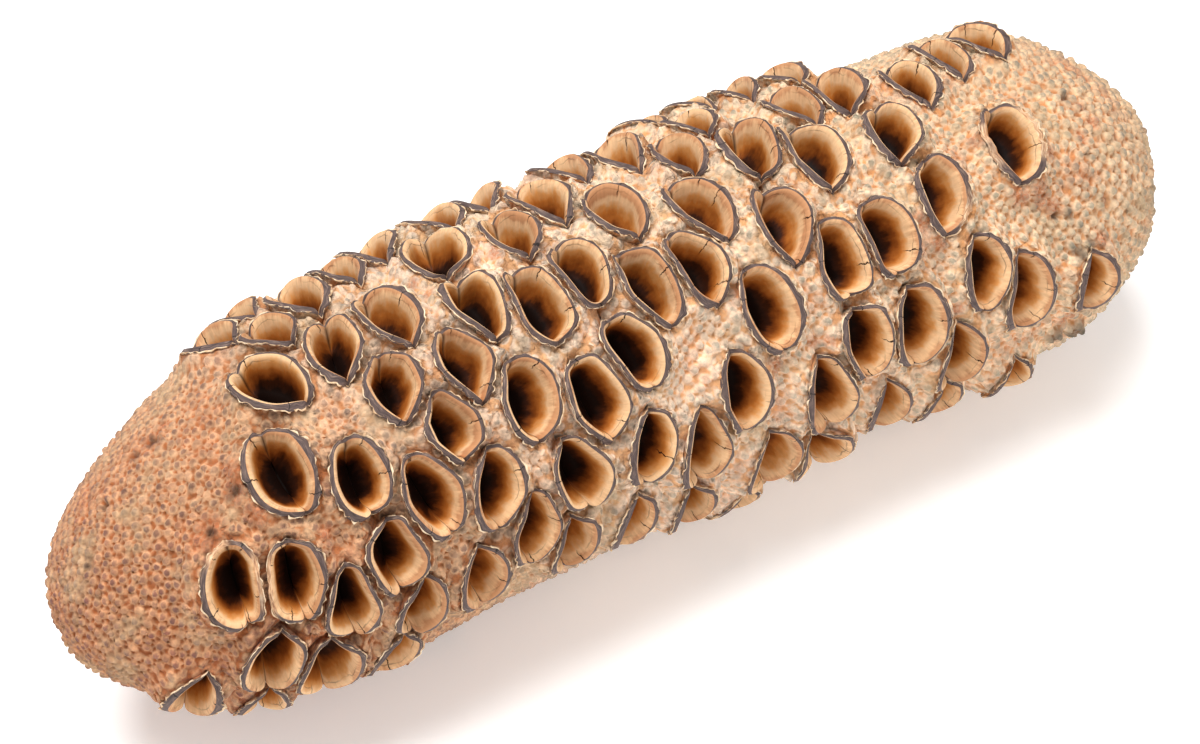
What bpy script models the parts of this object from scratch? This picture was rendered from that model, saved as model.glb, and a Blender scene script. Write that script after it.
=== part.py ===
"""Banksia cone: a woody seed cone that lies on its side, with its follicles open.

The cone grew as one piece, so it is one solid. Its ground is a long body with rounded ends
and a slight bow. The follicles stand on the ground, each a pair of valves round a pocket,
and the stumps of the old flowers cover what is left between them as low knobs.

A place on the ground is a distance along the meridian from the tip, called the arc, and an
angle round the axis, called phi. Heights are measured along the ground's normal.
"""
import math

import bpy
import numpy as np
from mathutils import Vector
from mathutils.geometry import delaunay_2d_cdt

MM = 0.001
TURN = 2 * math.pi

# Body: the ground that the follicles stand on
LENGTH = 248 * MM
RADIUS = 33.5 * MM
TIP_LENGTH = 68 * MM
TIP_POWER = 2.0
BASE_LENGTH = 38 * MM
BASE_POWER = 1.65
BOW = 4.9 * MM
BOW_TOWARDS = (0.71, 0.70)
AXIS_PLACE = (-0.62 * MM, -0.89 * MM, 37.0 * MM)
AXIS_RISE = 1.0 / 125
PROFILE_STEPS = 4000

# Ends: a small fan closes the tip, and a low stub is left where the stalk broke off
POLE_POINTS = 6
POLE_RADIUS = 2.0 * MM
SCAR_RADIUS = 5.0 * MM
SCAR_HEIGHT = 1.6 * MM
SCAR_TAPER = 0.9

# Follicle: mouth sizes at the rim, and heights over the ground
MOUTH_LENGTH = (11.5 * MM, 17.0 * MM)
MOUTH_SHARE = 0.66
MOUTH_TILT = math.radians(25)
FOOT_ALONG = 0.9 * MM
FOOT_ACROSS = 1.3 * MM
FOOT_SHARE = 0.92
RIM_HEIGHT = 5.2 * MM
NOTCH_HEIGHT = 1.9 * MM
RIM_FALL = 0.7
LIP = 0.9 * MM
LIP_DROP = 0.25 * MM
WALL_SLOPE = 0.4 * MM
POCKET_DEPTH = 3.6 * MM
SLIT_SHARE = 0.6
RING_POINTS = 8

# Knobs: the stumps of the flowers, drawn larger than life
KNOB_SPACING = 5.5 * MM
KNOB_HEIGHT = 1.2 * MM
KNOB_JITTER = 0.25 * KNOB_SPACING
KNOB_CLEARANCE = 0.9 * MM
VALLEY_DEPTH = 0.4 * MM

# Sight: the viewpoint of the photograph, which the follicles are placed by
SIGHT_AZIMUTH = math.radians(-35.47)
SIGHT_ELEVATION = math.radians(40)
SIGHT_DISTANCE = 540 * MM
SIGHT_FOCAL = 2800.9
SIGHT_CENTRE = (639.1, 349.0)
SIGHT_STEP = 0.1 * MM
NOTCH_OVER_GROUND = 2.3 * MM

# Mouths: the two notches of each follicle, as pixels of a 1200 x 744 photograph
MOUTHS = (
    (254, 443, 299, 518), (221, 558, 243, 632), (306, 553, 322, 628), (281, 638, 262, 692),
    (327, 628, 322, 688), (230, 380, 300, 405), (323, 327, 346, 385), (370, 353, 401, 420),
    (362, 303, 413, 346), (274, 300, 316, 313), (240, 340, 290, 348), (194, 356, 224, 350),
    (236, 322, 256, 318), (322, 277, 356, 281), (364, 255, 398, 270), (427, 236, 457, 283),
    (422, 403, 457, 474), (440, 345, 480, 416), (458, 288, 503, 350), (342, 449, 370, 522),
    (405, 469, 447, 539), (491, 450, 501, 531), (397, 523, 410, 597), (355, 551, 368, 618),
    (420, 592, 408, 628), (482, 552, 483, 603), (539, 495, 531, 561), (575, 503, 568, 556),
    (510, 360, 540, 441), (570, 420, 600, 489), (583, 368, 622, 448), (503, 272, 551, 340),
    (491, 222, 529, 257), (413, 228, 453, 230), (466, 203, 490, 211), (506, 196, 557, 220),
    (546, 174, 591, 178), (549, 252, 598, 312), (606, 257, 660, 324), (578, 198, 635, 235),
    (600, 330, 646, 398), (594, 156, 640, 170), (650, 146, 690, 173), (668, 188, 727, 236),
    (668, 238, 718, 300), (680, 127, 716, 138), (730, 127, 761, 177), (776, 120, 822, 173),
    (770, 101, 818, 121), (808, 82, 845, 115), (763, 190, 796, 262), (744, 270, 783, 345),
    (816, 222, 846, 300), (872, 107, 899, 161), (863, 202, 896, 271), (922, 155, 944, 228),
    (884, 70, 926, 100), (915, 48, 958, 73), (989, 108, 1018, 175), (846, 303, 860, 373),
    (908, 283, 913, 357), (957, 322, 942, 378), (977, 235, 984, 304), (1018, 250, 1013, 318),
    (1091, 251, 1080, 298), (825, 367, 826, 428), (888, 382, 874, 417), (943, 382, 924, 402),
    (732, 355, 742, 427), (652, 411, 644, 481), (707, 404, 700, 477), (777, 431, 764, 480),
    (694, 484, 680, 518), (641, 498, 620, 540), (803, 418, 806, 460), (197, 688, 178, 710),
    (262, 700, 252, 714), (402, 645, 385, 662), (750, 485, 735, 502), (1012, 358, 990, 375),
    (752, 90, 780, 86), (722, 98, 752, 98), (618, 132, 652, 124), (682, 114, 702, 110),
    (957, 46, 980, 44),
)

# Hidden side: follicles that a seeded rule adds where the photograph does not reach
SEED = 36
DARTS = 9000
DART_GAP = 0.97
HIDDEN_STATIONS = (32 * MM, 227 * MM)
HIDDEN_FACING = -0.58
HIDDEN_LENGTH = (13.5 * MM, 16.5 * MM)
HIDDEN_TILT = math.radians(14)

# Easing: how follicles that overlap are pushed apart, with 1 as feet that touch
EASE_ROUNDS = 60
EASE_SHARE = 0.3
SEEN_GAP = 0.84
LEAST_NEAR = 0.2
FAR_DEPTH = 15 * MM
FAR = 9.0
NEIGHBOUR = 2.0
TINY = 1e-6

# Unrolled plane: how far the copies on either side reach, and the points that may merge
COPY_MARGIN = 1.6
MERGE = 1e-9


def cap(distance, length, power):
    """Superellipse end: 0 at the pole, 1 from length onwards."""
    short = np.clip(1 - distance / length, 0, 1)
    return (1 - short ** power) ** (1 / power)


def bearing(s, r):
    """Angle about the centres of the two ends, with the straight run between them added."""
    base_start = LENGTH - BASE_LENGTH
    tip = np.arctan2(r, TIP_LENGTH - s)
    run = math.pi / 2 + (np.clip(s, TIP_LENGTH, base_start) - TIP_LENGTH) / RADIUS
    return np.where(s < TIP_LENGTH, tip, run + np.arctan2(np.maximum(s - base_start, 0), r))


def running_sum(steps):
    """Sums of the steps so far, from 0."""
    return np.concatenate([[0], np.cumsum(steps)])


def profile_tables():
    """Station, radius, arc, bearing, conformal height and area from the tip to the base."""
    turn = np.linspace(0, math.pi, PROFILE_STEPS)
    s = LENGTH / 2 * (1 - np.cos(turn))
    r = RADIUS * cap(s, TIP_LENGTH, TIP_POWER) * cap(LENGTH - s, BASE_LENGTH, BASE_POWER)
    arc = running_sum(np.hypot(np.diff(s), np.diff(r)))
    middle = (r[1:] + r[:-1]) / 2
    height = running_sum(np.diff(arc) / np.maximum(middle, POLE_RADIUS / 4))
    area = running_sum(np.diff(arc) * middle * TURN)
    return s, r, arc, bearing(s, r), height, area


S_TABLE, R_TABLE, ARC_TABLE, BEARING_TABLE, HEIGHT_TABLE, AREA_TABLE = profile_tables()
S_SLOPE = np.gradient(S_TABLE, ARC_TABLE)
R_SLOPE = np.gradient(R_TABLE, ARC_TABLE)


def radius_at(arc):
    """Radius of the ground at a distance along the meridian."""
    return np.interp(arc, ARC_TABLE, R_TABLE)


def wrapped(phi):
    """Angle brought into one turn about zero."""
    return (phi + math.pi) % TURN - math.pi


def frame_at(arc, phi):
    """Point, normal, round and along directions of the unbent ground."""
    s, r = np.interp(arc, ARC_TABLE, S_TABLE), radius_at(arc)
    ds, dr = np.interp(arc, ARC_TABLE, S_SLOPE), np.interp(arc, ARC_TABLE, R_SLOPE)
    size = np.hypot(ds, dr)
    ds, dr = ds / size, dr / size
    c, d = np.cos(phi), np.sin(phi)
    point = np.stack([s, r * c, r * d], -1)
    normal = np.stack([-dr, ds * c, ds * d], -1)
    around = np.stack([0 * s, -d, c], -1)
    along = np.stack([ds, dr * c, dr * d], -1)
    return point, normal, around, along


def ground_place(points):
    """Arc and phi of unbent points, seen from the axis."""
    reach = np.hypot(points[..., 1], points[..., 2])
    phi = np.arctan2(points[..., 2], points[..., 1])
    return np.interp(bearing(points[..., 0], reach), BEARING_TABLE, ARC_TABLE), phi


def axis_shift(s):
    """Shift of the axis in y and z: a flat arch over the length, and a small rise to the base."""
    share = s / (LENGTH / 2) - 1
    bow = BOW * (0.5 - share ** 2)
    return bow * BOW_TOWARDS[0], bow * BOW_TOWARDS[1] + AXIS_RISE * LENGTH / 2 * share


def bend(points):
    """Unbent points to their place in the part's frame, x along the cone."""
    aside, up = axis_shift(points[..., 0])
    x = points[..., 0] - LENGTH / 2 + AXIS_PLACE[0]
    y = points[..., 1] + aside + AXIS_PLACE[1]
    z = points[..., 2] + up + AXIS_PLACE[2]
    return np.stack([x, y, z], -1)


def unbend(points):
    """The opposite of bend."""
    s = points[..., 0] + LENGTH / 2 - AXIS_PLACE[0]
    aside, up = axis_shift(s)
    y = points[..., 1] - aside - AXIS_PLACE[1]
    z = points[..., 2] - up - AXIS_PLACE[2]
    return np.stack([s, y, z], -1)


def sight_frame():
    """Eye, right, up and forward directions of the photograph's viewpoint."""
    flat = math.cos(SIGHT_ELEVATION)
    back = np.array([math.sin(SIGHT_AZIMUTH) * flat, -math.cos(SIGHT_AZIMUTH) * flat,
                     math.sin(SIGHT_ELEVATION)])
    right = np.array([math.cos(SIGHT_AZIMUTH), math.sin(SIGHT_AZIMUTH), 0.0])
    return np.array(AXIS_PLACE) + back * SIGHT_DISTANCE, right, np.cross(back, right), -back


def cast(pixels):
    """Unbent points where the sight lines meet the ground, raised to the notches' height.

    A line that misses takes the point where it comes closest."""
    eye, right, up, forward = sight_frame()
    u = (pixels[:, 0] - SIGHT_CENTRE[0]) / SIGHT_FOCAL
    v = (SIGHT_CENTRE[1] - pixels[:, 1]) / SIGHT_FOCAL
    ray = forward + u[:, None] * right + v[:, None] * up
    reach = np.arange(SIGHT_DISTANCE - LENGTH / 2, SIGHT_DISTANCE + LENGTH / 2, SIGHT_STEP)
    track = unbend(eye + reach[None, :, None] * ray[:, None, :])
    swell = NOTCH_OVER_GROUND
    s = (track[..., 0] + swell) * LENGTH / (LENGTH + 2 * swell)
    wall = np.interp(s, S_TABLE, R_TABLE) * (RADIUS + swell) / RADIUS
    past_end = np.maximum(np.abs(s - LENGTH / 2) - LENGTH / 2, 0)
    outside = np.hypot(track[..., 1], track[..., 2]) - wall + FAR * past_end
    inside = outside < 0
    hit = np.where(inside.any(1), inside.argmax(1), outside.argmin(1))
    return track[np.arange(len(hit)), hit]


def seen_follicles():
    """Arc, phi, tilt and length of the follicles that the photograph shows."""
    mouths = np.array(MOUTHS, float)
    start, end = cast(mouths[:, :2]), cast(mouths[:, 2:])
    arc, phi = ground_place((start + end) / 2)
    _, _, around, along = frame_at(arc, phi)
    chord = end - start
    chord *= np.sign((chord * around).sum(1))[:, None]
    tilt = np.arctan2((chord * along).sum(1), (chord * around).sum(1))
    length = np.linalg.norm(chord, axis=1)
    return np.stack([arc, phi, np.clip(tilt, -MOUTH_TILT, MOUTH_TILT),
                     np.clip(length, *MOUTH_LENGTH)], 1)


def footing(follicles):
    """Half length and half width of each follicle at its foot."""
    along = follicles[:, 3] / 2 + FOOT_ALONG
    across = MOUTH_SHARE * follicles[:, 3] / 2 + FOOT_ACROSS
    return np.stack([along, across], 1)


def follicle_axes(follicles):
    """Middle, normal, and the directions along and across each follicle's slit."""
    point, normal, around, along = frame_at(follicles[:, 0], follicles[:, 1])
    c, d = np.cos(follicles[:, 2])[:, None], np.sin(follicles[:, 2])[:, None]
    return point, normal, np.stack([c * around + d * along, c * along - d * around], 1)


def nearness(follicles, others):
    """Offsets of others in each follicle's own axes, and how near they are, 1 where feet touch."""
    point, normal, axes = follicle_axes(follicles)
    apart = frame_at(others[:, 0], others[:, 1])[0][None] - point[:, None]
    offset = np.einsum("nmk,nak->nma", apart, axes)
    room = footing(follicles)[:, None] + footing(others)[None]
    near = np.hypot(*np.moveaxis(offset / room, -1, 0))
    depth = -np.einsum("nmk,nk->nm", apart, normal)
    return offset, np.where(depth > FAR_DEPTH, FAR, near), room


def hidden_follicles(seen, rng):
    """Darts on the side away from the eye, kept where they stay clear of the others."""
    eye = sight_frame()[0]
    found = seen.copy()
    for _ in range(DARTS):
        arc = np.interp(rng.random() * AREA_TABLE[-1], AREA_TABLE, ARC_TABLE)
        phi = rng.uniform(-math.pi, math.pi)
        tilt = rng.uniform(-HIDDEN_TILT, HIDDEN_TILT)
        dart = np.array([[arc, phi, tilt, rng.uniform(*HIDDEN_LENGTH)]])
        point, normal, _, _ = frame_at(dart[:, 0], dart[:, 1])
        sight = eye - bend(point)[0]
        facing = normal[0] @ sight / np.linalg.norm(sight)
        in_band = HIDDEN_STATIONS[0] < point[0, 0] < HIDDEN_STATIONS[1]
        if facing < HIDDEN_FACING and in_band and nearness(dart, found)[1].min() > DART_GAP:
            found = np.concatenate([found, dart])
    return found


def eased(follicles, fixed):
    """Follicles pushed apart until their feet barely meet.

    The first ones, which are fixed in number, yield only to one another, and only where
    they overlap much."""
    gap = np.ones((len(follicles), len(follicles)))
    gap[:fixed, :fixed] = SEEN_GAP
    gap[:fixed, fixed:] = 0
    for _ in range(EASE_ROUNDS):
        offset, near, _ = nearness(follicles, follicles)
        np.fill_diagonal(near, FAR)
        push = np.clip(gap - near, 0, None) / np.maximum(near, LEAST_NEAR)
        shift = -(push[..., None] * offset).sum(1) * EASE_SHARE
        c, d = np.cos(follicles[:, 2]), np.sin(follicles[:, 2])
        follicles[:, 1] += (c * shift[:, 0] - d * shift[:, 1]) / radius_at(follicles[:, 0])
        follicles[:, 0] += d * shift[:, 0] + c * shift[:, 1]
    return follicles


def placed_follicles():
    """All follicles, the seen ones first."""
    seen = seen_follicles()
    return eased(hidden_follicles(seen, np.random.default_rng(SEED)), len(seen))


def foot_outlines(follicles, circle):
    """Foot ellipses in each follicle's own axes, cut short of the line midway to a neighbour."""
    foot = footing(follicles)
    offset, near, room = nearness(follicles, follicles)
    np.fill_diagonal(near, FAR)
    scaled = offset / foot[:, None]
    share = FOOT_SHARE * (foot[:, None] / room).mean(-1)
    reach = np.einsum("nma,ka->nmk", scaled, circle)
    bound = ((scaled ** 2).sum(-1) * share)[..., None]
    limit = np.where(reach > TINY, bound / np.maximum(reach, TINY), FAR)
    limit[near > NEIGHBOUR] = FAR
    cut = np.minimum(limit.min(1), 1)
    return circle[None] * cut[..., None] * foot[:, None]


def on_follicle(follicles, flat):
    """Arc and phi of points given in each follicle's tangent plane."""
    point, _, axes = follicle_axes(follicles)
    place = point[:, None] + np.einsum("nka,nac->nkc", flat, axes)
    arc, phi = ground_place(place)
    middle = follicles[:, 1][:, None]
    return arc, middle + wrapped(phi - middle)


def follicle_rings(follicles):
    """Arc, phi and height of each follicle's foot, outer rim, inner rim and slit points."""
    theta = np.arange(RING_POINTS) * TURN / RING_POINTS
    circle = np.stack([np.cos(theta), np.sin(theta)], -1)
    foot = foot_outlines(follicles, circle)
    mouth = np.stack([follicles[:, 3] / 2, MOUTH_SHARE * follicles[:, 3] / 2], -1)
    rim = circle[None] * mouth[:, None]
    room = np.linalg.norm(foot, axis=-1, keepdims=True) - WALL_SLOPE
    rim *= np.minimum(1, room / np.linalg.norm(rim, axis=-1, keepdims=True))
    lip = rim * (1 - LIP / np.linalg.norm(rim, axis=-1, keepdims=True))
    slit = lip[:, [0, RING_POINTS // 2]] * [SLIT_SHARE, 0]
    swell = np.abs(np.sin(theta)) ** RIM_FALL
    crest = np.broadcast_to(NOTCH_HEIGHT + (RIM_HEIGHT - NOTCH_HEIGHT) * swell, rim.shape[:2])
    floor = np.full(slit.shape[:2], -POCKET_DEPTH)
    height = np.concatenate([0 * crest, crest, crest - LIP_DROP, floor], 1)
    arc, phi = on_follicle(follicles, np.concatenate([foot, rim, lip, slit], 1))
    return arc, phi, height


def follicle_faces(first):
    """Triangles of one follicle, from its foot over the rim down to the slit."""
    n = RING_POINTS
    quarter = n // 4
    faces = []
    for level in (0, n):
        for k in range(n):
            a, b = first + level + k, first + level + (k + 1) % n
            faces += [(a, b, b + n), (a, b + n, a + n)]
    lip, right, left = first + 2 * n, first + 3 * n, first + 3 * n + 1
    for k in range(n):
        near_right = k < quarter or k >= n - quarter
        faces.append((lip + k, lip + (k + 1) % n, right if near_right else left))
    faces += [(lip + quarter, left, right), (lip + n - quarter, right, left)]
    return faces


def knob_places(rng):
    """Knob tops on a golden-angle spiral with equal areas, each a little off its place."""
    cell = KNOB_SPACING ** 2 * math.sqrt(3) / 2
    count = int(AREA_TABLE[-1] / cell)
    arc = np.interp((np.arange(count) + 0.5) * cell, AREA_TABLE, ARC_TABLE)
    phi = np.arange(count) * math.pi * (3 - math.sqrt(5))
    arc += rng.uniform(-1, 1, count) * KNOB_JITTER
    phi += rng.uniform(-1, 1, count) * KNOB_JITTER / np.maximum(radius_at(arc), POLE_RADIUS)
    at_base = arc > ARC_TABLE[-1] / 2
    bare = np.where(at_base, SCAR_RADIUS, POLE_RADIUS) + KNOB_SPACING / 2
    keep = radius_at(arc) > bare
    return arc[keep], phi[keep]


def clear_of_feet(arc, phi, follicles):
    """True where a ground point lies outside every follicle's foot by the knobs' clearance."""
    point = frame_at(arc, phi)[0]
    centre, normal, axes = follicle_axes(follicles)
    clear = np.ones(len(arc), bool)
    for middle, up, pair, foot in zip(centre, normal, axes, footing(follicles)):
        offset = point - middle
        share = np.linalg.norm(offset @ pair.T / (foot + KNOB_CLEARANCE), axis=1)
        clear &= (share > 1) | (offset @ up < -FAR_DEPTH)
    return clear


def unrolled(arc, phi):
    """Plane in which small shapes keep their form: phi across, arc over radius summed upwards."""
    return np.stack([phi, np.interp(arc, ARC_TABLE, HEIGHT_TABLE)], -1)


def ground_triangles(flat, loops):
    """Triangles between the loops in the unrolled plane, closed round the cone.

    Copies one turn away on either side stand in for the far edge, and each triangle counts
    once, where its middle lies within the one turn."""
    copies = np.concatenate([flat - [TURN, 0], flat, flat + [TURN, 0]])
    used = np.flatnonzero(np.abs(copies[:, 0]) < math.pi + COPY_MARGIN)
    place = np.full(len(copies), -1)
    place[used] = np.arange(len(used))
    rings = np.concatenate([place[np.array(loops) + k * len(flat)] for k in range(3)])
    rings = rings[rings.min(1) >= 0].tolist()
    points = [Vector(p) for p in copies[used]]
    result = delaunay_2d_cdt(points, [], rings, 0, MERGE, True)
    if len(result[0]) != len(points):
        raise ValueError("two feet cross in the unrolled plane")
    order = np.array([ids[0] for ids in result[3]])
    faces = order[np.array([face for face, ring in zip(result[2], result[5]) if not ring])]
    middle = copies[used][faces].mean(1)[:, 0]
    faces = faces[(middle >= -math.pi) & (middle < math.pi)]
    return used[faces] % len(flat)


def valley_places(faces, flat, first_knob):
    """Arc and phi of the middles of those triangles that have a knob at every corner."""
    corner = flat[faces[(faces >= first_knob).all(1)]]
    start = corner[:, :1, 0]
    phi = (start + wrapped(corner[..., 0] - start)).mean(1)
    return np.interp(corner[..., 1].mean(1), HEIGHT_TABLE, ARC_TABLE), wrapped(phi)


def end_rings():
    """Arc and phi of the rings that close the tip and carry the stalk's scar."""
    half = PROFILE_STEPS // 2
    tip = np.interp(POLE_RADIUS, R_TABLE[:half // 2], ARC_TABLE[:half // 2])
    scar = np.interp(SCAR_RADIUS, R_TABLE[:-half // 2:-1], ARC_TABLE[:-half // 2:-1])
    phi = (np.arange(POLE_POINTS) + 0.5) * TURN / POLE_POINTS - math.pi
    return np.repeat([tip, scar], POLE_POINTS), np.tile(phi, 2)


def end_faces(first_ring, first_end):
    """Fan at the tip, and the sides and top of the stub at the base."""
    n = POLE_POINTS
    tip_top, scar_top, stub = first_end, first_end + 1, first_end + 2
    faces = []
    for k in range(n):
        after = (k + 1) % n
        low, low_after = first_ring + n + k, first_ring + n + after
        faces += [(first_ring + after, first_ring + k, tip_top),
                  (low, low_after, stub + after), (low, stub + after, stub + k),
                  (stub + k, stub + after, scar_top)]
    return faces


def cone_mesh():
    """Vertices and triangles of the whole cone, flattened where it rests."""
    follicles = placed_follicles()
    arc, phi, height = follicle_rings(follicles)
    points_each = arc.shape[1]
    ring_arc, ring_phi = end_rings()
    knob_arc, knob_phi = knob_places(np.random.default_rng(SEED))
    clear = clear_of_feet(knob_arc, knob_phi, follicles)
    knob_arc, knob_phi = knob_arc[clear], wrapped(knob_phi[clear])

    # The unrolled plane holds the feet, the end rings and the knobs
    in_foot = (np.arange(len(follicles))[:, None] * points_each + np.arange(RING_POINTS)).ravel()
    arcs = np.concatenate([arc.ravel(), ring_arc, knob_arc])
    phis = np.concatenate([phi.ravel(), ring_phi, knob_phi])
    lifts = np.concatenate([height.ravel(), 0 * ring_arc, 0 * knob_arc + KNOB_HEIGHT])
    on_ground = np.concatenate([in_foot, np.arange(arc.size, len(arcs))])
    flat = unrolled(arcs[on_ground], phis[on_ground])
    loops = np.arange(len(in_foot)).reshape(-1, RING_POINTS)
    faces = ground_triangles(flat, loops)

    # A low point between knobs makes each one stand out by itself
    low_arc, low_phi = valley_places(faces, flat, len(in_foot) + len(ring_arc))
    on_ground = np.concatenate([on_ground, len(arcs) + np.arange(len(low_arc))])
    arcs = np.concatenate([arcs, low_arc])
    phis = np.concatenate([phis, low_phi])
    lifts = np.concatenate([lifts, 0 * low_arc - VALLEY_DEPTH])
    flat = np.concatenate([flat, unrolled(low_arc, low_phi)])
    faces = on_ground[ground_triangles(flat, loops)].tolist()
    for k in range(len(follicles)):
        faces += follicle_faces(k * points_each)

    point, normal, _, _ = frame_at(arcs, phis)
    point += normal * lifts[:, None]
    stub = point[arc.size + POLE_POINTS:arc.size + 2 * POLE_POINTS] * [0, SCAR_TAPER, SCAR_TAPER]
    stub[:, 0] = LENGTH + SCAR_HEIGHT
    tops = [[0, 0, 0], [LENGTH + SCAR_HEIGHT, 0, 0]]
    faces += end_faces(arc.size, len(point))
    place = bend(np.concatenate([point, tops, stub]))
    place[:, 2] = np.maximum(place[:, 2], 0)
    return place, faces


def wood_material():
    """Weathered brown wood, dull all over."""
    material = bpy.data.materials.new("weathered_wood")
    material.use_nodes = True
    shader = material.node_tree.nodes["Principled BSDF"]
    shader.inputs["Base Color"].default_value = (0.23, 0.15, 0.10, 1)
    shader.inputs["Roughness"].default_value = 0.85
    shader.inputs["Metallic"].default_value = 0.0
    return material


for old in list(bpy.data.objects):
    bpy.data.objects.remove(old)

collection = bpy.data.collections.new("banksia_cone")
bpy.context.scene.collection.children.link(collection)
vertices, triangles = cone_mesh()
mesh = bpy.data.meshes.new("cone")
mesh.from_pydata(vertices.tolist(), [], triangles)
mesh.materials.append(wood_material())
cone = bpy.data.objects.new("cone", mesh)
collection.objects.link(cone)
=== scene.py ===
"""Looks of a banksia cone that lies on its side, in metres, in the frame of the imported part.

The cone is one woody body that grew in one piece. Its felted ground is set with the stumps of
the old flowers, and the follicles that stand on it are open: each is a pair of valves round a
polished pocket.
"""

import math

import bpy
import numpy as np
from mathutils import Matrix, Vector
from mathutils.geometry import delaunay_2d_cdt


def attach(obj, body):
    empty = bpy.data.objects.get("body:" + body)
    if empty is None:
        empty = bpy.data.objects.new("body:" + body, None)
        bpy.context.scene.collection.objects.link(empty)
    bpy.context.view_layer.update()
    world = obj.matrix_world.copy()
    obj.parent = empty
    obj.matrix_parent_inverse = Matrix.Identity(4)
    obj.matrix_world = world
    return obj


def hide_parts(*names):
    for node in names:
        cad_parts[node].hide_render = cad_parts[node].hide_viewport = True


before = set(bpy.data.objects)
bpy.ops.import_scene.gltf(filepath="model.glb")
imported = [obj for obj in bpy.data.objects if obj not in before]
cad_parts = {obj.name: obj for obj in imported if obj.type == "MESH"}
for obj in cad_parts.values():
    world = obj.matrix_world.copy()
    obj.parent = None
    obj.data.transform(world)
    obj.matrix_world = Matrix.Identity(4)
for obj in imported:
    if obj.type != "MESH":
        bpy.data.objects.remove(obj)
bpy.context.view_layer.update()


# Body of the cone.
# The axis of the old flower spike, grown thick and woody. It gives every piece its place: a
# distance along the meridian from the tip, called the arc, and an angle round the axis, phi.
MM = 0.001
TURN = 2 * math.pi

LENGTH = 248 * MM
RADIUS = 33.5 * MM
TIP_LENGTH = 68 * MM
TIP_POWER = 2.0
BASE_LENGTH = 38 * MM
BASE_POWER = 1.65
BOW = 4.9 * MM
BOW_TOWARDS = (0.71, 0.70)
AXIS_PLACE = (-0.62 * MM, -0.89 * MM, 37.0 * MM)
AXIS_RISE = 1.0 / 125
PROFILE_STEPS = 4000
POLE_RADIUS = 0.8 * MM


def cap(distance, length, power):
    """Superellipse end: 0 at the pole, 1 from length onwards."""
    short = np.clip(1 - distance / length, 0, 1)
    return (1 - short ** power) ** (1 / power)


def bearing(s, r):
    """Angle about the centres of the two ends, with the straight run between them added."""
    base_start = LENGTH - BASE_LENGTH
    tip = np.arctan2(r, TIP_LENGTH - s)
    run = math.pi / 2 + (np.clip(s, TIP_LENGTH, base_start) - TIP_LENGTH) / RADIUS
    return np.where(s < TIP_LENGTH, tip, run + np.arctan2(np.maximum(s - base_start, 0), r))


def running_sum(steps):
    """Sums of the steps so far, from 0."""
    return np.concatenate([[0], np.cumsum(steps)])


def profile_tables():
    """Station, radius, arc, bearing, conformal height and area from the tip to the base."""
    turn = np.linspace(0, math.pi, PROFILE_STEPS)
    s = LENGTH / 2 * (1 - np.cos(turn))
    r = RADIUS * cap(s, TIP_LENGTH, TIP_POWER) * cap(LENGTH - s, BASE_LENGTH, BASE_POWER)
    arc = running_sum(np.hypot(np.diff(s), np.diff(r)))
    middle = (r[1:] + r[:-1]) / 2
    height = running_sum(np.diff(arc) / np.maximum(middle, POLE_RADIUS / 4))
    area = running_sum(np.diff(arc) * middle * TURN)
    return s, r, arc, bearing(s, r), height, area


S_TABLE, R_TABLE, ARC_TABLE, BEARING_TABLE, HEIGHT_TABLE, AREA_TABLE = profile_tables()
S_SLOPE = np.gradient(S_TABLE, ARC_TABLE)
R_SLOPE = np.gradient(R_TABLE, ARC_TABLE)


def radius_at(arc):
    """Radius of the ground at a distance along the meridian."""
    return np.interp(arc, ARC_TABLE, R_TABLE)


def station_at(arc):
    """Distance from the tip along the straight axis, at a distance along the meridian."""
    return np.interp(arc, ARC_TABLE, S_TABLE)


def wrapped(phi):
    """Angle brought into one turn about zero."""
    return (phi + math.pi) % TURN - math.pi


def frame_at(arc, phi):
    """Point, normal, round and along directions of the unbent ground."""
    s, r = station_at(arc), radius_at(arc)
    ds, dr = np.interp(arc, ARC_TABLE, S_SLOPE), np.interp(arc, ARC_TABLE, R_SLOPE)
    size = np.hypot(ds, dr)
    ds, dr = ds / size, dr / size
    c, d = np.cos(phi), np.sin(phi)
    point = np.stack([s, r * c, r * d], -1)
    normal = np.stack([-dr, ds * c, ds * d], -1)
    around = np.stack([0 * s, -d, c], -1)
    along = np.stack([ds, dr * c, dr * d], -1)
    return point, normal, around, along


def ground_place(points):
    """Arc and phi of unbent points, seen from the axis."""
    reach = np.hypot(points[..., 1], points[..., 2])
    phi = np.arctan2(points[..., 2], points[..., 1])
    return np.interp(bearing(points[..., 0], reach), BEARING_TABLE, ARC_TABLE), phi


def axis_shift(s):
    """Shift of the axis in y and z: a flat arch over the length, and a small rise to the base."""
    share = s / (LENGTH / 2) - 1
    bow = BOW * (0.5 - share ** 2)
    return bow * BOW_TOWARDS[0], bow * BOW_TOWARDS[1] + AXIS_RISE * LENGTH / 2 * share


def bend(points):
    """Unbent points to their place in the part's frame, x along the cone."""
    aside, up = axis_shift(points[..., 0])
    x = points[..., 0] - LENGTH / 2 + AXIS_PLACE[0]
    y = points[..., 1] + aside + AXIS_PLACE[1]
    z = points[..., 2] + up + AXIS_PLACE[2]
    return np.stack([x, y, z], -1)


def unbend(points):
    """The opposite of bend."""
    s = points[..., 0] + LENGTH / 2 - AXIS_PLACE[0]
    aside, up = axis_shift(s)
    y = points[..., 1] - aside - AXIS_PLACE[1]
    z = points[..., 2] - up - AXIS_PLACE[2]
    return np.stack([s, y, z], -1)


def raised(arc, phi, height):
    """Places at a height over the ground along its normal, pressed flat where the cone rests."""
    point, normal, _, _ = frame_at(arc, phi)
    place = bend(point + normal * height[..., None])
    place[..., 2] = np.maximum(place[..., 2], 0)
    return place


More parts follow.
